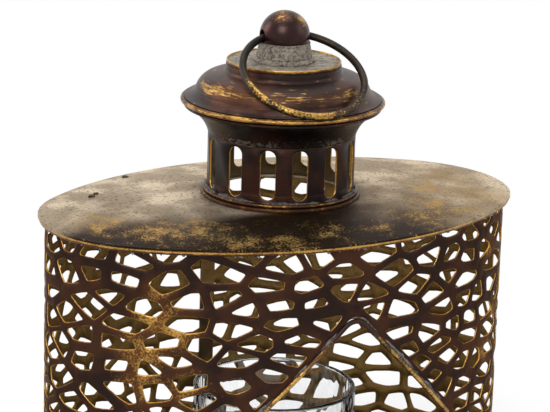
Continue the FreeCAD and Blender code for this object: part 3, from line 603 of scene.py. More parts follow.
def bent_wire_tree():
    """A wire swept round a path, with rounded bends and a thickness that may come and go."""
    tree, sizes, close = form_tree("bent wire", (
        "Wire radius", "Flatness", "Step", "Unevenness", "Patch scale", "Bend count"))
    rounded = rounded_path(tree, sizes["Geometry"], sizes["Bend count"])
    even = add_node(tree, "GeometryNodeResampleCurve", {"Curve": rounded, "Length": sizes["Step"]},
                    mode="LENGTH")
    place = tree.nodes.new("GeometryNodeInputPosition")
    shift = maths(tree, "SUBTRACT", noise_on(tree, place, sizes["Patch scale"], 3.0), 0.5)
    swell = maths(tree, "MULTIPLY_ADD", shift, sizes["Unevenness"], 1.0)
    held = maths(tree, "MAXIMUM", swell, 0.05)
    ring = add_node(tree, "GeometryNodeCurvePrimitiveCircle", {
        "Resolution": 14, "Radius": sizes["Wire radius"]})
    squeeze = add_node(tree, "ShaderNodeCombineXYZ", {"X": sizes["Flatness"], "Y": 1.0, "Z": 1.0})
    section = add_node(tree, "GeometryNodeTransform", {"Geometry": ring, "Scale": squeeze})
    close(add_node(tree, "GeometryNodeCurveToMesh", {
        "Curve": even, "Profile Curve": section, "Scale": held}))
    return tree


bent_wire = bent_wire_tree()


def wire_mesh(name, line, corners, finish, radius, step, bends=1, flatness=1.0, unevenness=0.0,
              patch_scale=1.0, level=0.0):
    """A wire along a closed line, with its radius, its steps and its level in millimetres."""
    return formed(name, [(line, corners)], bent_wire, finish, level, wire_radius=radius * MM,
                  flatness=flatness, step=step * MM, unevenness=unevenness, patch_scale=patch_scale,
                  bend_count=bends)


def window_path(out=0.0):
    """The rod's outline on the unrolled sheet, a distance outside the rod's own line."""
    side = wall_oval.run_at(WINDOW_HALF) + out
    peak = WINDOW_PEAK + out * math.sqrt(2)
    eave = peak - WINDOW_HALF - out
    return [(-side, WINDOW_SILL - out), (-side, eave), (0, peak), (side, eave), (side, WINDOW_SILL - out)]


def ramp(value, start, end):
    """0 before the start, 1 past the end, and a straight rise between them."""
    return min(1.0, max(0.0, (value - start) / (end - start)))


def rod_wear(place):
    """Gold along the front of the arms, which fades out towards the peak."""
    front = max(0.0, place.z / (ROD_RADIUS * MM))
    return 0.14 + 0.52 * front * ramp(WINDOW_PEAK - place.y / MM, 6, 36)


rod_finish = browned_metal("rubbed rod", halo=(0.070, 0.032, 0.013, 1), grain=1100.0, breakup=1.1,
                           relief=0.15)
rod_bends = (ROD_CORNER_BEND, ROD_CORNER_BEND, ROD_PEAK_BEND, ROD_CORNER_BEND, ROD_CORNER_BEND)
rod_mesh = wire_mesh("rod_line", window_path(), rod_bends, rod_finish, ROD_RADIUS, ROD_STEP, bends=6)
spread_on(rod_mesh, "rubbed", rod_wear)
rolled(rod_mesh, wall_oval.place)
finished("window_rod", rod_mesh, "bronzed_wire", ["window_frame"])


def solder_material(name, light, dark, scale, relief):
    """Dull grey solder with dark pits."""
    material, tree, skin = new_material(name)
    pits = noise_on(tree, object_place(tree), scale, 6.0, 0.75)
    feed(tree, skin, {
        "Base Color": mixed_colour(tree, soft_step(tree, pits, 0.38, 0.60), dark, light),
        "Metallic": 0.45, "Roughness": 0.55, "Normal": bumped(tree, pits, relief, 0.0012)})
    return material


smear_solder = solder_material(
    "smeared solder", (0.19, 0.175, 0.165, 1), (0.030, 0.023, 0.019, 1), 380.0, 0.8)
smear_mesh = wire_mesh("smear_line", window_path(SMEAR_GAP), ROD_PEAK_BEND, smear_solder, SMEAR_RADIUS, 1.0,
                       bends=6, flatness=0.6, unevenness=14.0, patch_scale=55.0)
rolled(smear_mesh, wall_oval.place)
finished("window_solder", smear_mesh, "solder")


# Roof
# A shallow dome of sheet beaten down to the oval edge, with a flat ring that the gallery stands on.
# It is dull grey-brown with dark specks and worn gold patches, and darkest along the front's edge, where
# shade and a dark reflection are painted on.
ROOF_FLAT_RADIUS = 49.0
ROOF_HOLE_RADIUS = 43.0
ROOF_STEPS = 26
ROOF_RUNS = 220
ROOF_DENT, DENT_PATCHES = 0.25, 0.035
ROOF_PATCHES = (  # place on the roof and how far a worn patch reaches, in millimetres
    (-122, -14, 17), (-105, -39, 15), (-81, -55, 17), (-68, -79, 13), (-40, -88, 10), (78, -58, 26),
    (111, -39, 22), (59, -67, 17), (118, 5, 20), (95, -20, 16), (-92, -50, 14), (-10, -80, 9), (20, -84, 8),
)
roof_foot = roof_low.z / MM
roof_top = roof_high.z / MM


def dome_height(share):
    """The height of the roof's top side, from its edge (0) to its flat ring (1)."""
    edge_top = roof_foot + SHEET_THICKNESS
    return edge_top + (roof_top - edge_top) * math.sin(share * math.pi / 2)


def roof_point(share, run, under):
    """A point of the roof, from its edge (0) to its flat ring (1), on the top or the underside."""
    edge = roof_oval.place(run, 0)
    turn = roof_oval.place(run, 0, 1.0) - edge
    spot = edge.lerp(Vector((turn.x, turn.y, 0)) * ROOF_FLAT_RADIUS, share)
    dents = Vector((spot.x * DENT_PATCHES, spot.y * DENT_PATCHES, 4))
    height = dome_height(share) + (0 if share in (0, 1) else ROOF_DENT * noise.noise(dents))
    return Vector((spot.x, spot.y, height - (SHEET_THICKNESS if under else 0)))


def ring_skin(name, rings):
    """Joins closed rings of points into a skin; the last ring is joined to the first."""
    count = len(rings[0])
    faces = []
    for i in range(len(rings)):
        j = (i + 1) % len(rings)
        for a in range(count):
            b = (a + 1) % count
            faces.append((i * count + a, i * count + b, j * count + b, j * count + a))
    mesh = bpy.data.meshes.new(name)
    mesh.from_pydata([point * MM for ring in rings for point in ring], [], faces)
    return mesh


def hill(value, middle, reach, power=2):
    """1 at the middle, and less the farther a value lies from it."""
    return math.exp(-(((value - middle) / reach) ** power))


def painted_roof_shade(place):
    """Painted shade and painted dark reflection: dark along the front's edge, most of all below the gallery,
    and round the gallery's foot.
    """
    x, y = place.x / MM, place.y / MM
    share = math.hypot(2 * x / ROOF_LENGTH, 2 * y / ROOF_WIDTH)
    right = ramp(x, 40, 100)
    middle = 0.95 * hill(x, -24, 70, 4) * ramp(-y, 28, 44)
    edge = (0.95 - 0.91 * right) * hill(share, 1, 0.46) * ramp(-y, 2, 28)
    # The patch at the left and the veil over the front are painted shade too.
    haze = 0.24 * hill(x, -112, 26) * hill(y, 0, 45)
    veil = (0.24 - 0.22 * right) * ramp(-y, -16, 22)
    foot_ring = 0.30 * hill(math.hypot(x, y), ROOF_FLAT_RADIUS, 5)
    return 1 - (1 - max(middle, edge, haze, veil, foot_ring)) ** 1.7


runs = [(-1 + 2 * i / ROOF_RUNS) * roof_oval.half for i in range(ROOF_RUNS)]
shares = [i / ROOF_STEPS for i in range(ROOF_STEPS + 1)]
rings = [[roof_point(share, run, False) for run in runs] for share in shares]
directions = [roof_oval.place(run, 0, 1.0) - roof_oval.place(run, 0) for run in runs]
rings.append([Vector((d.x * ROOF_HOLE_RADIUS, d.y * ROOF_HOLE_RADIUS, roof_top)) for d in directions])
rings.append([Vector((p.x, p.y, roof_top - SHEET_THICKNESS)) for p in rings[-1]])
rings += [[roof_point(share, run, True) for run in runs] for share in reversed(shares)]
roof_mesh = ring_skin("roof_sheet", rings)
# The near-black second colour here is painted shade and a painted dark reflection.
roof_mesh.materials.append(browned_metal(
    "dull roof sheet", dark=(0.400, 0.333, 0.248, 1), warm=(0.790, 0.668, 0.506, 1),
    gold=(0.45, 0.280, 0.095, 1), halo=(0.170, 0.110, 0.054, 1), inside=(0.014, 0.008, 0.004, 1),
    specks=((0.140, 0.105, 0.064, 1), 0.07), grain=850.0, breakup=0.95, relief=0.35,
    roughness=(0.42, 0.40), Metallic=0.55, Specular_IOR_Level=0.2, Specular_Tint=(0.40, 0.28, 0.17, 1)))
# The roof's mask of painted shade and dark reflection goes on as the second colour's attribute.
finished("roof_sheet", roof_mesh, "bronzed_roof", ["roof"], inside=painted_roof_shade,
         rubbed=lambda p: 0.20 + 0.29 * nearness(p.x / MM, p.y / MM, ROOF_PATCHES))


# Crumbs on the roof
# Three small dark crumbs of dirt that lie at the back of the roof, the third close to its edge.
# Each has its own lumpy shape, which changes by up to about 1 mm from run to run, because noise_vector
# takes its offsets from the clock.
CRUMBS = ((-106, 42, 2.6), (-101, 47, 2.0), (-66, 80, 2.2))  # place and size, in millimetres
LUMP_SHAPE = (1.0, 0.6, 0.45)
LUMP_RELIEF, LUMP_PATCHES = 0.9, 420
CRUMB_LIFT = 0.25
DOME_SHARE = 0.62  # how much of the way from the edge to the middle the dome takes up there
dirt = solder_material("dirt", (0.10, 0.075, 0.03, 1), (0.015, 0.012, 0.006, 1), 600.0, 0.9)
crumb_work = bmesh.new()
for x, y, size in CRUMBS:
    share = math.hypot(2 * x / ROOF_LENGTH, 2 * y / ROOF_WIDTH)
    spot = Vector((x, y, dome_height((1 - share) / DOME_SHARE) + CRUMB_LIFT * size))
    lump = bmesh.ops.create_icosphere(crumb_work, subdivisions=3, radius=size * MM, matrix=(
        Matrix.Translation(spot * MM) @ Matrix.Diagonal((*LUMP_SHAPE, 1.0))))
    for vertex in lump["verts"]:
        shift = noise.noise_vector(vertex.co * LUMP_PATCHES) * LUMP_RELIEF * MM
        vertex.co += Vector((shift.x, shift.y, 0.5 * shift.z))
crumb_mesh = bpy.data.meshes.new("crumbs")
crumb_work.to_mesh(crumb_mesh)
crumb_work.free()
crumb_mesh.materials.append(dirt)
finished("roof_crumbs", crumb_mesh, "solder")


# Roof edge
# A wire rolled into the edge of the roof, rubbed to a thin gold line, with spots of solder under it
# that hold the body sheet.
EDGE_WIDTH, EDGE_HEIGHT = 3.2, 2.0
EDGE_SHOULDER = 0.6
SPOT_COUNT, SPOT_OUT, SPOT_DROP = 240, 0.5, 1.0
LEAST_SPOT, MOST_SPOT, SPOTS_KEPT = 0.9, 2.3, 0.30
edge_finish = browned_metal("rubbed roof edge", warm=(0.10, 0.032, 0.012, 1), grain=1100.0,
                            breakup=0.75, relief=0.3)
edge_line = [tuple(roof_oval.place(run, 0, -EDGE_WIDTH / 2))[:2] for run in runs]
edge_mesh = wire_mesh("edge_line", edge_line, 0.0, edge_finish, EDGE_WIDTH / 2, 3.0,
                      flatness=EDGE_HEIGHT / EDGE_WIDTH, level=roof_foot - EDGE_HEIGHT / 2)
edge_shoulder = roof_foot - EDGE_HEIGHT * EDGE_SHOULDER
finished("roof_edge", edge_mesh, "bronzed_sheet", ["roof_rim"],
         rubbed=lambda p: 0.64 if p.z > edge_shoulder * MM else 0.30)


def solder_spot_tree():
    """Blobs set along a line with gaps between them, each of its own size and turn."""
    tree, sizes, close = form_tree("solder spots", (
        "Spot count", "Spot seed", "Least size", "Most size", "Kept share"))
    seed = sizes["Spot seed"]
    points = add_node(tree, "GeometryNodeCurveToPoints", {
        "Curve": sizes["Geometry"], "Count": sizes["Spot count"]}, mode="COUNT")
    pick = add_node(tree, "FunctionNodeRandomValue", {
        "Probability": sizes["Kept share"], "Seed": seed}, data_type="BOOLEAN")
    grow = add_node(tree, "FunctionNodeRandomValue", {
        2: sizes["Least size"], 3: sizes["Most size"], "Seed": seed}, data_type="FLOAT")
    turn = add_node(tree, "FunctionNodeRandomValue", {
        0: (0.0, 0.0, 0.0), 1: (6.28, 6.28, 6.28), "Seed": seed}, data_type="FLOAT_VECTOR")
    blob = add_node(tree, "GeometryNodeMeshIcoSphere", {"Radius": 1.0, "Subdivisions": 2})
    squashed = add_node(tree, "GeometryNodeTransform", {"Geometry": blob, "Scale": LUMP_SHAPE})
    close(add_node(tree, "GeometryNodeInstanceOnPoints", {
        "Points": points, "Selection": pick.outputs[3], "Instance": squashed,
        "Rotation": turn, "Scale": grow.outputs[1]}))
    return tree


grey_solder = solder_material("grey solder", (0.30, 0.29, 0.28, 1), (0.035, 0.030, 0.028, 1), 420.0, 0.5)
spot_line = [tuple(wall_oval.place(run, 0, SHEET_THICKNESS / 2 + SPOT_OUT))[:2] for run in runs]
spot_mesh = formed("spot_line", [(spot_line, 0.0)], solder_spot_tree(), grey_solder,
                   level=roof_foot - EDGE_HEIGHT - SPOT_DROP, spot_count=SPOT_COUNT, spot_seed=5,
                   least_size=LEAST_SPOT * MM, most_size=MOST_SPOT * MM, kept_share=SPOTS_KEPT)
finished("edge_solder_spots", spot_mesh, "solder", crease=80)


# Slotted gallery
# A short tube of sheet with thirteen round-ended slots that let the hot air out. It is
# punched flat like the body, rolled and seamed at the back, and its slot edges are worn gold.
def round_box(node):
    """The radius, foot and height of a round node of the frame, in millimetres."""
    low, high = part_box(node)
    return (high.x - low.x) / 2 / MM, low.z / MM, (high.z - low.z) / MM


tube_radius, tube_foot, tube_height = round_box("gallery_tube")
TUBE_WALL = 1.5
TUBE_STEP, TUBE_SEAM_GAP = 2.0, 0.03
SLOT_WIDTH, SLOT_LENGTH, SLOT_FOOT, SLOT_ROUND = 9.0, 30.0, 6.6, 0.45
SLOT_PLACES = (  # degrees round the tube from the front's middle
    -147.1, -121.6, -96.0, -66.0, -38.4, -13.5, 13.5, 40.7, 70.7, 100.7, 129.0, 158.3, 187.3)
SEAM_TURN = math.radians(200.1 - 180)
tube_middle = tube_radius - TUBE_WALL / 2


def slot_outline(place):
    """A slot on the unrolled tube, whose ends the tree then rounds."""
    middle = (math.radians(place) - SEAM_TURN) * tube_middle
    left, right, top = middle - SLOT_WIDTH / 2, middle + SLOT_WIDTH / 2, SLOT_FOOT + SLOT_LENGTH
    return [(left, SLOT_FOOT), (left, top), (right, top), (right, SLOT_FOOT)]


def tube_place(run, height, out):
    """The point of the rolled tube for a point of the flat one."""
    turn = run / tube_middle + SEAM_TURN
    radius = tube_middle + out
    return Vector((math.sin(turn) * radius, -math.cos(turn) * radius, height + tube_foot))


end = math.pi * tube_middle - TUBE_SEAM_GAP
tube_border = stepped([(-end, 0), (end, 0), (end, tube_height), (-end, tube_height)], TUBE_STEP)
tube_outlines = [(tube_border, 0.0)]
tube_outlines += [(slot_outline(place), SLOT_WIDTH / 2 - 0.02) for place in SLOT_PLACES]
tube_finish = browned_metal("brushed gallery sheet", dark=(0.012, 0.007, 0.006, 1),
                            warm=(0.040, 0.015, 0.009, 1), inside=(0.085, 0.055, 0.020, 1), grain=150.0,
                            streak=12.0, breakup=0.75, relief=0.30)
tube_mesh = formed("slot_outlines", tube_outlines, pierced_sheet, tube_finish, thickness=TUBE_WALL * MM,
                   edge_round=SLOT_ROUND * MM, corner_count=8)
mark_sheet(tube_mesh, lambda p: 0.12, 0.66, 0.66)
rolled(tube_mesh, tube_place)
finished("slotted_gallery", tube_mesh, "bronzed_sheet", ["gallery_tube"], crease=50)


# Gallery foot
# A flat ring and a half-round ring over it hide the tube's joint with the roof, and grey solder has
# run into the corner above them.
def arc_points(start, end, radius, steps):
    """Points of the arc between two profile points; a radius below zero turns clockwise."""
    first, last = Vector(start), Vector(end)
    chord = last - first
    side = Vector((-chord.y, chord.x)).normalized()
    rise = math.sqrt(max(0.0, radius**2 - (chord.length / 2) ** 2))
    middle = (first + last) / 2 + side * math.copysign(rise, radius)
    from_angle = math.atan2(first.y - middle.y, first.x - middle.x)
    to_angle = math.atan2(last.y - middle.y, last.x - middle.x)
    if radius > 0 and to_angle < from_angle:
        to_angle += 2 * math.pi
    if radius < 0 and to_angle > from_angle:
        to_angle -= 2 * math.pi
    turns = [from_angle + (to_angle - from_angle) * i / steps for i in range(1, steps + 1)]
    return [(middle.x + abs(radius) * math.cos(t), middle.y + abs(radius) * math.sin(t)) for t in turns]


def eased(corners, ease):
    """A closed profile with its arcs drawn and every plain corner rounded by a small radius."""
    points = []
    for index, corner in enumerate(corners):
        if len(corner) == 3:
            points += arc_points(corners[index - 1][:2], corner[:2], corner[2], 14)
        else:
            points.append(tuple(corner))
    if not ease:
        return points
    soft = []
    for index, point in enumerate(points):
        before, after = points[index - 1], points[(index + 1) % len(points)]
        if point[0] <= 0 or min(math.dist(before, point), math.dist(point, after)) < ease * 2:
            soft.append(point)
            continue
        a = tuple(p + (q - p) * ease / math.dist(point, before) for p, q in zip(point, before))
        b = tuple(p + (q - p) * ease / math.dist(point, after) for p, q in zip(point, after))
        soft += [a, tuple((p + (q + r) / 2) / 2 for p, q, r in zip(point, a, b)), b]
    return soft


def turned(name, corners, finish, level, ease=0.25, rounds=128):
    """A mesh turned about Z from a closed profile of (radius, height) corners above a level.

    A third number in a corner makes an arc of that radius of the side that leads to it."""
    vertices, faces, rows = [], [], []
    turns = [2 * math.pi * i / rounds for i in range(rounds)]
    for radius, height in eased(corners, ease):
        ring = [Vector((radius * math.cos(t), radius * math.sin(t), height + level)) * MM for t in turns]
        if radius <= 1e-9:
            rows.append([len(vertices)] * rounds)
            ring = ring[:1]
        else:
            rows.append([len(vertices) + i for i in range(rounds)])
        vertices += ring
    for row, following in zip(rows, rows[1:] + rows[:1]):
        for i in range(rounds):
            j = (i + 1) % rounds
            face = list(dict.fromkeys((row[i], row[j], following[j], following[i])))
            if len(face) > 2:
                faces.append(face)
    mesh = bpy.data.meshes.new(name)
    mesh.from_pydata(vertices, [], faces)
    mesh.materials.append(finish)
    return mesh


def oval(middle, across, up, count):
    """Points round an oval with its middle, its reach across and its reach up."""
    turns = [2 * math.pi * i / count for i in range(count)]
    return [(middle[0] + across * math.cos(t), middle[1] + up * math.sin(t)) for t in turns]


ring_finish = browned_metal("rubbed rings", grain=420.0, streak=6.0, breakup=0.9, relief=0.25)
foot_radius, foot_level, foot_height = round_box("gallery_foot")
FOOT_GAP, FOOT_EASE, FOOT_RUB = 0.05, 0.55, 0.7
foot_bore = tube_radius + FOOT_GAP
foot_mesh = turned("gallery_foot_ring", (
    (foot_bore, 0), (foot_radius, 0), (foot_radius, foot_height), (foot_bore, foot_height)),
    ring_finish, foot_level, ease=FOOT_EASE)
finished("gallery_foot_ring", foot_mesh, "bronzed_sheet", ["gallery_foot"],
         rubbed=lambda p: 0.30 if math.hypot(p.x, p.y) / MM > foot_radius - FOOT_RUB else 0.16)

bead_reach, bead_level, bead_height = round_box("gallery_foot_bead")
bead_half = bead_height / 2
bead_profile = oval((bead_reach - bead_half, bead_half), bead_half, bead_half, 16)
bead_mesh = turned("gallery_foot_bead_ring", bead_profile, ring_finish, bead_level, ease=0)
finished("gallery_foot_bead_ring", bead_mesh, "bronzed_wire", ["gallery_foot_bead"], rubbed=lambda p: 0.34)

JOINT_RADIUS, JOINT_OUT, JOINT_RISE = 0.8, 0.3, 0.2
dark_solder = solder_material(
    "dark solder", (0.115, 0.102, 0.090, 1), (0.020, 0.014, 0.011, 1), 520.0, 0.8)
joint_line = oval((0, 0), tube_radius + JOINT_OUT, tube_radius + JOINT_OUT, 90)
joint_mesh = wire_mesh("joint_line", joint_line, 0.0, dark_solder, JOINT_RADIUS, 1.2,
                       unevenness=9.0, patch_scale=110.0, level=bead_level + bead_height + JOINT_RISE)
finished("gallery_solder", joint_mesh, "solder", crease=80)


# Flared collar
# A spun flare that widens from the slotted tube to the wired brim. The spinning tool has left fine
# rings, and solder is smeared where it meets the tube.
mouth, collar_level, collar_height = round_box("gallery_collar")
COLLAR_LAP, COLLAR_THICK, COLLAR_LEDGE, COLLAR_CURVE, COLLAR_GAP = 0.6, 1.2, 3.6, 23.0, 0.06
neck = tube_radius + COLLAR_LAP - COLLAR_THICK
ledge = mouth - COLLAR_LEDGE
spun_finish = browned_metal("spun dark sheet", dark=(0.012, 0.007, 0.006, 1), warm=(0.042, 0.016, 0.010, 1),
                            specks=((0.12, 0.112, 0.105, 1), "smear"), grain=170.0, streak=14.0,
                            breakup=0.8, relief=0.30)
collar_mesh = turned("flared_collar", (
    (neck, 0), (tube_radius + COLLAR_GAP, 0), (mouth, collar_height - COLLAR_THICK, -COLLAR_CURVE),
    (mouth, collar_height), (ledge, collar_height), (ledge, collar_height - 2 * COLLAR_THICK),
    (neck, COLLAR_THICK, COLLAR_CURVE + COLLAR_THICK)), spun_finish, collar_level)
SMEARS = ((-150, 16), (-131, 13), (-80, 15), (-20, 14), (60, 20), (150, 18))  # angle and reach, in degrees


def collar_smear(place):
    """Solder smeared over the joint with the tube, in a few places."""
    angle = math.degrees(math.atan2(place.y, place.x))
    near = max(hill(angle, middle, reach) for middle, reach in SMEARS)
    return 0.22 * near * hill(place.z / MM - collar_level, 1.5, 2.6)


finished("flared_collar", collar_mesh, "bronzed_sheet", ["gallery_collar"], rubbed=lambda p: 0.10,
         smear=collar_smear)


# Wired brim
# A wire rolled into the edge where collar and cap meet, a little flattened by the rolling and worn
# bright all round.
brim_reach, brim_level, brim_height = round_box("brim_bead")
brim_half = brim_height / 2
brim_middle = brim_reach - brim_half
BRIM_OUT, RISE_SHARE, ACROSS_SHARE, UP_SHARE = 0.25, 1.1, 0.88, 0.72
brim_profile = oval((brim_middle + BRIM_OUT, RISE_SHARE * brim_half), ACROSS_SHARE * brim_half,
                    UP_SHARE * brim_half, 24)
brim_mesh = turned("wired_brim", brim_profile, ring_finish, brim_level, ease=0, rounds=160)
finished("wired_brim", brim_mesh, "bronzed_wire", ["brim_bead"], rubbed=lambda p: 0.27 + 0.29 * max(
    0.0, (math.hypot(p.x, p.y) / MM - brim_middle) / brim_half))


# Cap
# A spun cap with a skirt inside the brim, a round bulge, a cove and a short drum. The bulge is
# rubbed to gold in fine rings, mostly at the left.
skirt, cap_level, cap_height = round_box("cap")
CAP_WALL, CAP_BORE = 1.2, 3.1
SKIRT_HEIGHT, VALLEY_HEIGHT, BULGE_HEIGHT, CROWN_HEIGHT, DRUM_HEIGHT = 2.8, 8.2, 17.1, 19.4, 21.8
VALLEY_IN, BULGE_IN, CROWN_IN, DRUM_IN = 4.2, 10.9, 19.9, 22.3
VALLEY_CURVE, BULGE_CURVE, CROWN_CURVE, COVE_CURVE = 9.0, 12.0, 60.0, 2.4
FLANGE_REACH, FLANGE_HEIGHT, FLANGE_TOP = 2.5, 4.5, 4.9
valley, bulge, crown, drum = skirt - VALLEY_IN, skirt - BULGE_IN, skirt - CROWN_IN, skirt - DRUM_IN
drum_bore, cap_under = drum - CAP_WALL, cap_height - CAP_WALL
cap_profile = (
    (skirt - CAP_WALL, 0), (skirt, 0), (skirt, SKIRT_HEIGHT),
    (skirt + FLANGE_REACH, FLANGE_HEIGHT), (skirt + CAP_WALL / 2, FLANGE_TOP),
    (valley, VALLEY_HEIGHT, -VALLEY_CURVE), (bulge, BULGE_HEIGHT, BULGE_CURVE),
    (crown, CROWN_HEIGHT, CROWN_CURVE), (drum, DRUM_HEIGHT, -COVE_CURVE), (drum, cap_height),
    (CAP_BORE, cap_height), (CAP_BORE, cap_under), (drum_bore, cap_under),
    (drum_bore, DRUM_HEIGHT - CAP_WALL), (crown - 1.0, CROWN_HEIGHT - 1.1),
    (bulge - CAP_WALL / 2, BULGE_HEIGHT - CAP_WALL), (valley - 1.5, VALLEY_HEIGHT - 0.8),
    (skirt - CAP_WALL, SKIRT_HEIGHT + 0.2))
cap_finish = browned_metal("spun cap sheet", warm=(0.070, 0.027, 0.016, 1), halo=(0.085, 0.034, 0.014, 1),
                           grain=110.0, streak=12.0, breakup=1.0, relief=0.30)
cap_mesh = turned("spun_cap", cap_profile, cap_finish, cap_level, ease=0.3, rounds=160)


def cap_wear(place):
    """Gold in a band round the bulge, strongest at the left front."""
    angle = math.atan2(place.y, place.x)
    left = max(0.0, math.cos(angle - math.radians(-172))) ** 4
    right = max(0.0, math.cos(angle - math.radians(-76))) ** 8
    return 0.16 + hill(place.z / MM - cap_level, 13.6, 3.0) * (0.13 + 0.28 * left + 0.15 * right)


finished("spun_cap", cap_mesh, "bronzed_sheet", ["cap"], rubbed=cap_wear)


# Cap disc
# A flat disc on the cap's drum, with a thin lip. Its top is the grey of bare solder and its lip is
# rubbed to gold.
disc_radius, disc_level, _ = round_box("cap_disc")
DISC_THICK, DISC_LIP = 1.5, 0.9
lip_top, lip_bore = DISC_THICK + DISC_LIP / 2, disc_radius - DISC_LIP
pale_grey = solder_material("pale grey disc", (0.30, 0.26, 0.20, 1), (0.085, 0.070, 0.050, 1), 260.0, 0.35)
disc_mesh = turned("cap_disc_plate", (
    (CAP_BORE, 0), (disc_radius, 0), (disc_radius, lip_top), (lip_bore, lip_top, DISC_LIP / 2),
    (lip_bore, DISC_THICK), (CAP_BORE, DISC_THICK)), pale_grey, disc_level, ease=0.12, rounds=144)
disc_mesh.materials.append(ring_finish)
for face in disc_mesh.polygons:
    if math.hypot(face.center.x, face.center.y) / MM > lip_bore - 0.1:
        face.material_index = 1
finished("cap_disc_plate", disc_mesh, "solder", ["cap_disc"],
         rubbed=lambda p: 0.62 if p.z / MM - disc_level > DISC_THICK - 0.25 else 0.12)


# Finial
# A turned ball with a hole across it for the ring, sitting in a rough cup of solder on the disc, and
# held by a stud with a washer and a nut under the cap.
_, cup_level, cup_height = round_box("finial_base")
CUP_BORE, CUP_TOP, CUP_RISE = 3.2, 15.4, 1.4
CUP_SIDE = (  # radius and height
    (18.4, 0), (18.4, 1.4), (17.0, 2.0), (16.6, 2.6), (16.8, 3.4), (16.2, 6.6))
SEAT_GAP, SEAT_STEPS = 0.05, 8
knob_radius, knob_level, knob_height = round_box("finial_knob")
knob_middle = knob_level + knob_height - knob_radius
cup_profile = [(CUP_BORE, 0), *CUP_SIDE, (CUP_TOP, cup_height), (CUP_TOP + 0.1, cup_height + CUP_RISE)]
for step in range(SEAT_STEPS + 1):
    down = cup_height + CUP_RISE + 0.2 - step * (cup_height + 0.6) / SEAT_STEPS
    seat = (knob_radius + SEAT_GAP) ** 2 - (knob_middle - cup_level - down) ** 2
    cup_profile.append((math.sqrt(max(CUP_BORE**2, seat)), down))
rough_solder = solder_material(
    "rough grey solder", (0.27, 0.238, 0.195, 1), (0.060, 0.047, 0.034, 1), 560.0, 0.7)
cup_mesh = turned("finial_base_cup", cup_profile, rough_solder, cup_level, ease=0.2, rounds=96)
finished("finial_base_cup", cup_mesh, "solder", ["finial_base"])

RING_BORE = 8.5
RING_TURN = math.radians(-5.5)
KNOB_STEPS, KNOB_ROWS = 40, 33
knob_finish = browned_metal("polished knob", dark=(0.026, 0.013, 0.012, 1), warm=(0.070, 0.024, 0.020, 1),
                            halo=(0.085, 0.034, 0.016, 1), breakup=1.0, relief=0.12, roughness=(0.30, 0.30))
knob_profile = [(0, knob_height)]
for step in range(1, KNOB_ROWS + 1):
    angle = math.pi / 2 - math.pi * step / KNOB_STEPS
    height = knob_middle - knob_level + knob_radius * math.sin(angle)
    knob_profile.append((knob_radius * math.cos(angle), height))
knob_profile += [(knob_profile[-1][0], 0), (0, 0)]
knob_mesh = turned("finial_ball", knob_profile[::-1], knob_finish, knob_level, ease=0, rounds=96)
ball = placed_object("ball", knob_mesh)
work = bmesh.new()
drill_radius = RING_BORE / 2 * MM
bmesh.ops.create_cone(work, cap_ends=True, segments=32, radius1=drill_radius, radius2=drill_radius,
                      depth=3 * knob_radius * MM)
across = Matrix.Rotation(RING_TURN, 4, "Z") @ Matrix.Rotation(math.radians(90), 4, "Y")
work.transform(Matrix.Translation((0, 0, knob_middle * MM)) @ across)
drill_mesh = bpy.data.meshes.new("drill")
work.to_mesh(drill_mesh)
work.free()
drill = placed_object("drill", drill_mesh)
drilled = ball.modifiers.new("bore", "BOOLEAN")
drilled.object = drill
drilled.operation = "DIFFERENCE"
drilled.solver = "EXACT"
bored_mesh = plain_mesh(ball)
bpy.data.objects.remove(drill)


def knob_wear_and_highlight(place):
    """Gold on the top, most of it at the right, and a spot at the upper left made stronger to paint a
    highlight.
    """
    spot = place / MM - Vector((0, 0, knob_middle))
    right = max(0.0, spot.normalized().dot(Vector((0.462, -0.583, 0.672))))
    # Painted highlight: the upper left spot is worn gold turned up to stand in for a highlight.
    left = max(0.0, spot.normalized().dot(Vector((-0.38, -0.30, 0.87))))
    top = max(0.0, spot.z / knob_radius)
    return 0.12 + 0.52 * right**18 + 0.42 * left**12 + 0.20 * top**8


# The ball's rubbed mark holds worn gold and a painted highlight.
finished("finial_ball", bored_mesh, "bronzed_wire", ["finial_knob"], crease=40, rubbed=knob_wear_and_highlight)

steel, steel_tree, steel_skin = new_material("dull steel")
steel_grain = noise_on(steel_tree, object_place(steel_tree), 500.0, 4.0)
feed(steel_tree, steel_skin, {
    "Base Color": mixed_colour(steel_tree, steel_grain, (0.14, 0.13, 0.12, 1), (0.34, 0.33, 0.31, 1)),
    "Metallic": 0.9, "Roughness": 0.4})
dressed(("finial_stud", "finial_washer", "finial_nut"), steel)


# Carrying ring
# A closed ring of round wire that hangs through the ball and lies forward on the brim. It is nearly
# black, and worn gold where a hand takes it and where it rubs the brim.
RING_WIRE = 4.5
RING_RADIUS = 36.6
RING_FALL = math.radians(29.8)
RING_STEPS = 120
wire_finish = browned_metal("black worn wire", dark=(0.010, 0.009, 0.008, 1), warm=(0.030, 0.019, 0.012, 1),
                            halo=(0.040, 0.024, 0.012, 1), grain=800.0, breakup=1.0)
ring_mesh = wire_mesh("ring_line", oval((0, 0), RING_RADIUS, RING_RADIUS, RING_STEPS), 0.0, wire_finish,
                      RING_WIRE / 2, ROD_STEP)


def ring_wear(place):
    """Gold on the outside of the part that hangs lowest, and up its left side."""
    angle = math.degrees(math.atan2(place.y, place.x))
    low = hill(angle, -95, 48) + 0.6 * hill(angle, -160, 30)
    above = 0.5 + 0.5 * place.z / (RING_WIRE / 2 * MM)
    return 0.14 + 0.44 * min(1.0, low) * above


spread_on(ring_mesh, "rubbed", ring_wear)
hang = (RING_RADIUS + math.sqrt(RING_RADIUS**2 - knob_radius**2)) / 2
forward = hang * math.cos(RING_FALL)
ring_place = Vector((forward * math.sin(RING_TURN), -forward * math.cos(RING_TURN),
                     knob_middle - hang * math.sin(RING_FALL)))
ring_mesh.transform(Matrix.Translation(ring_place * MM) @ Matrix.Rotation(RING_TURN, 4, "Z")
                    @ Matrix.Rotation(RING_FALL, 4, "X"))
finished("hanging_ring", ring_mesh, "bronzed_wire", ["carrying_ring"], "ring")


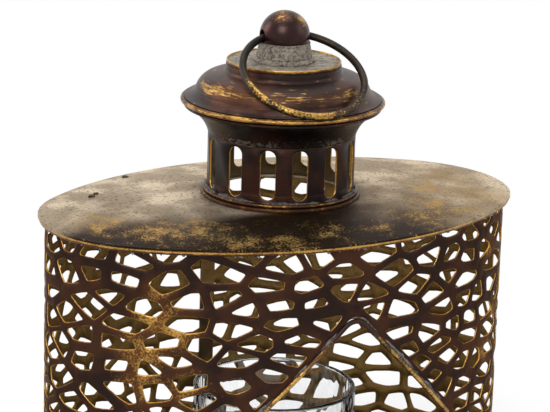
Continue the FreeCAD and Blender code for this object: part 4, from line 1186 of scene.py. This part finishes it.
# Glass
# A pressed glass cylinder with a thick floor and a fire-polished rim. It stands loose on the pan and
# comes out through the window.
glass_radius, glass_level, glass_height = round_box("glass_cylinder")
GLASS_WALL, GLASS_FLOOR, GLASS_HEEL = 3.0, 5.0, 2.0
clear_glass, glass_tree, glass_skin = new_material("clear glass")
drawn = maths(glass_tree, "MULTIPLY", object_place(glass_tree), (1.0, 1.0, 0.07), kind="VectorMath")
wobble = noise_on(glass_tree, drawn, 105.0, 1.0)
feed(glass_tree, glass_skin, {
    "Base Color": (0.97, 0.98, 0.98, 1), "Transmission Weight": 1.0, "Roughness": 0.0, "IOR": 1.47,
    "Normal": bumped(glass_tree, wobble, 0.22, 0.001)})
glass_bore, rim_foot = glass_radius - GLASS_WALL, glass_height - GLASS_WALL / 2
glass_mesh = turned("glass_cup", (
    (0, 0), (glass_radius - GLASS_HEEL, 0), (glass_radius, GLASS_HEEL, GLASS_HEEL), (glass_radius, rim_foot),
    (glass_bore, rim_foot, GLASS_WALL / 2), (glass_bore, GLASS_FLOOR + GLASS_HEEL),
    (glass_bore - GLASS_HEEL, GLASS_FLOOR, -GLASS_HEEL), (0, GLASS_FLOOR)),
    clear_glass, glass_level, ease=0, rounds=144)
finished("glass_cup", glass_mesh, "clear_glass", ["glass_cylinder"], "glass")


# Studio
# A pale floor that runs out to white, soft lamps above, at both sides and behind, and a camera where
# the picture was taken from.
def seen_rays(tree):
    """1 for what the camera sees itself, in a shine or through the glass, and 0 for lighting."""
    path = tree.nodes.new("ShaderNodeLightPath").outputs
    seen = maths(tree, "MAXIMUM", path["Is Camera Ray"], path["Is Glossy Ray"])
    return maths(tree, "MAXIMUM", seen, path["Is Transmission Ray"])


FLOOR_SIZE = 12.0
bpy.ops.mesh.primitive_plane_add(size=FLOOR_SIZE)
floor = bpy.context.object
floor.name = "studio_floor"
pale, floor_tree, floor_skin = new_material("pale floor")
feed(floor_tree, floor_skin, {"Base Color": (0.86, 0.86, 0.86, 1), "Roughness": 0.8})
reach = maths(floor_tree, "LENGTH", object_place(floor_tree), kind="VectorMath").outputs["Value"]
share = maths(floor_tree, "MULTIPLY", seen_rays(floor_tree), soft_step(floor_tree, reach, 0.22, 0.55))
white = add_node(floor_tree, "ShaderNodeEmission", {"Color": (1, 1, 1, 1), "Strength": 1.0})
feed(floor_tree, floor_tree.nodes["Material Output"], {
    "Surface": add_node(floor_tree, "ShaderNodeMixShader", {0: share, 1: floor_skin, 2: white})})
floor.data.materials.append(pale)

world = bpy.data.worlds.new("studio")
bpy.context.scene.world = world
world.use_nodes = True
sky = world.node_tree
feed(sky, sky.nodes["Background"], {
    "Color": (1, 1, 1, 1),
    "Strength": add_node(sky, "ShaderNodeMapRange", {
        "Value": seen_rays(sky), "To Min": 0.55, "To Max": 1.0})})

LAMPS = (  # name, place in metres, size in metres, watts
    ("key", (-1.5, -1.6, 2.0), 1.2, 42.0),
    ("fill", (1.9, -1.2, 1.3), 1.4, 12.0),
    ("top", (0.0, 0.3, 2.4), 1.6, 22.0),
    ("rim", (-1.6, 1.4, 1.2), 1.2, 16.0),
)
LAMP_TARGET = Vector((0, 0, 0.2))
for lamp_name, spot, size, watts in LAMPS:
    light = bpy.data.lights.new(lamp_name, "AREA")
    light.size = size
    light.energy = watts
    lamp = placed_object(lamp_name, light)
    lamp.location = spot
    lamp.rotation_euler = (LAMP_TARGET - Vector(spot)).to_track_quat("-Z", "Y").to_euler()

CAMERA_PLACE = (-0.70123, -1.28839, 0.63161)
CAMERA_RIGHT = Vector((0.88257705, -0.46931619, 0.02828547))
CAMERA_UP = Vector((0.10038789, 0.24687519, 0.96383345))
CAMERA_LENS, SENSOR_WIDTH = 164.3, 36.0
camera_data = bpy.data.cameras.new("camera")
camera_data.sensor_width = SENSOR_WIDTH
camera_data.sensor_fit = "HORIZONTAL"
camera_data.lens = CAMERA_LENS
camera = placed_object("camera", camera_data)
back = CAMERA_RIGHT.cross(CAMERA_UP)
turn_to = Matrix((CAMERA_RIGHT, CAMERA_UP, back)).transposed().to_4x4()
camera.matrix_world = Matrix.Translation(CAMERA_PLACE) @ turn_to
bpy.context.scene.camera = camera
bpy.context.scene.view_settings.view_transform = "Standard"
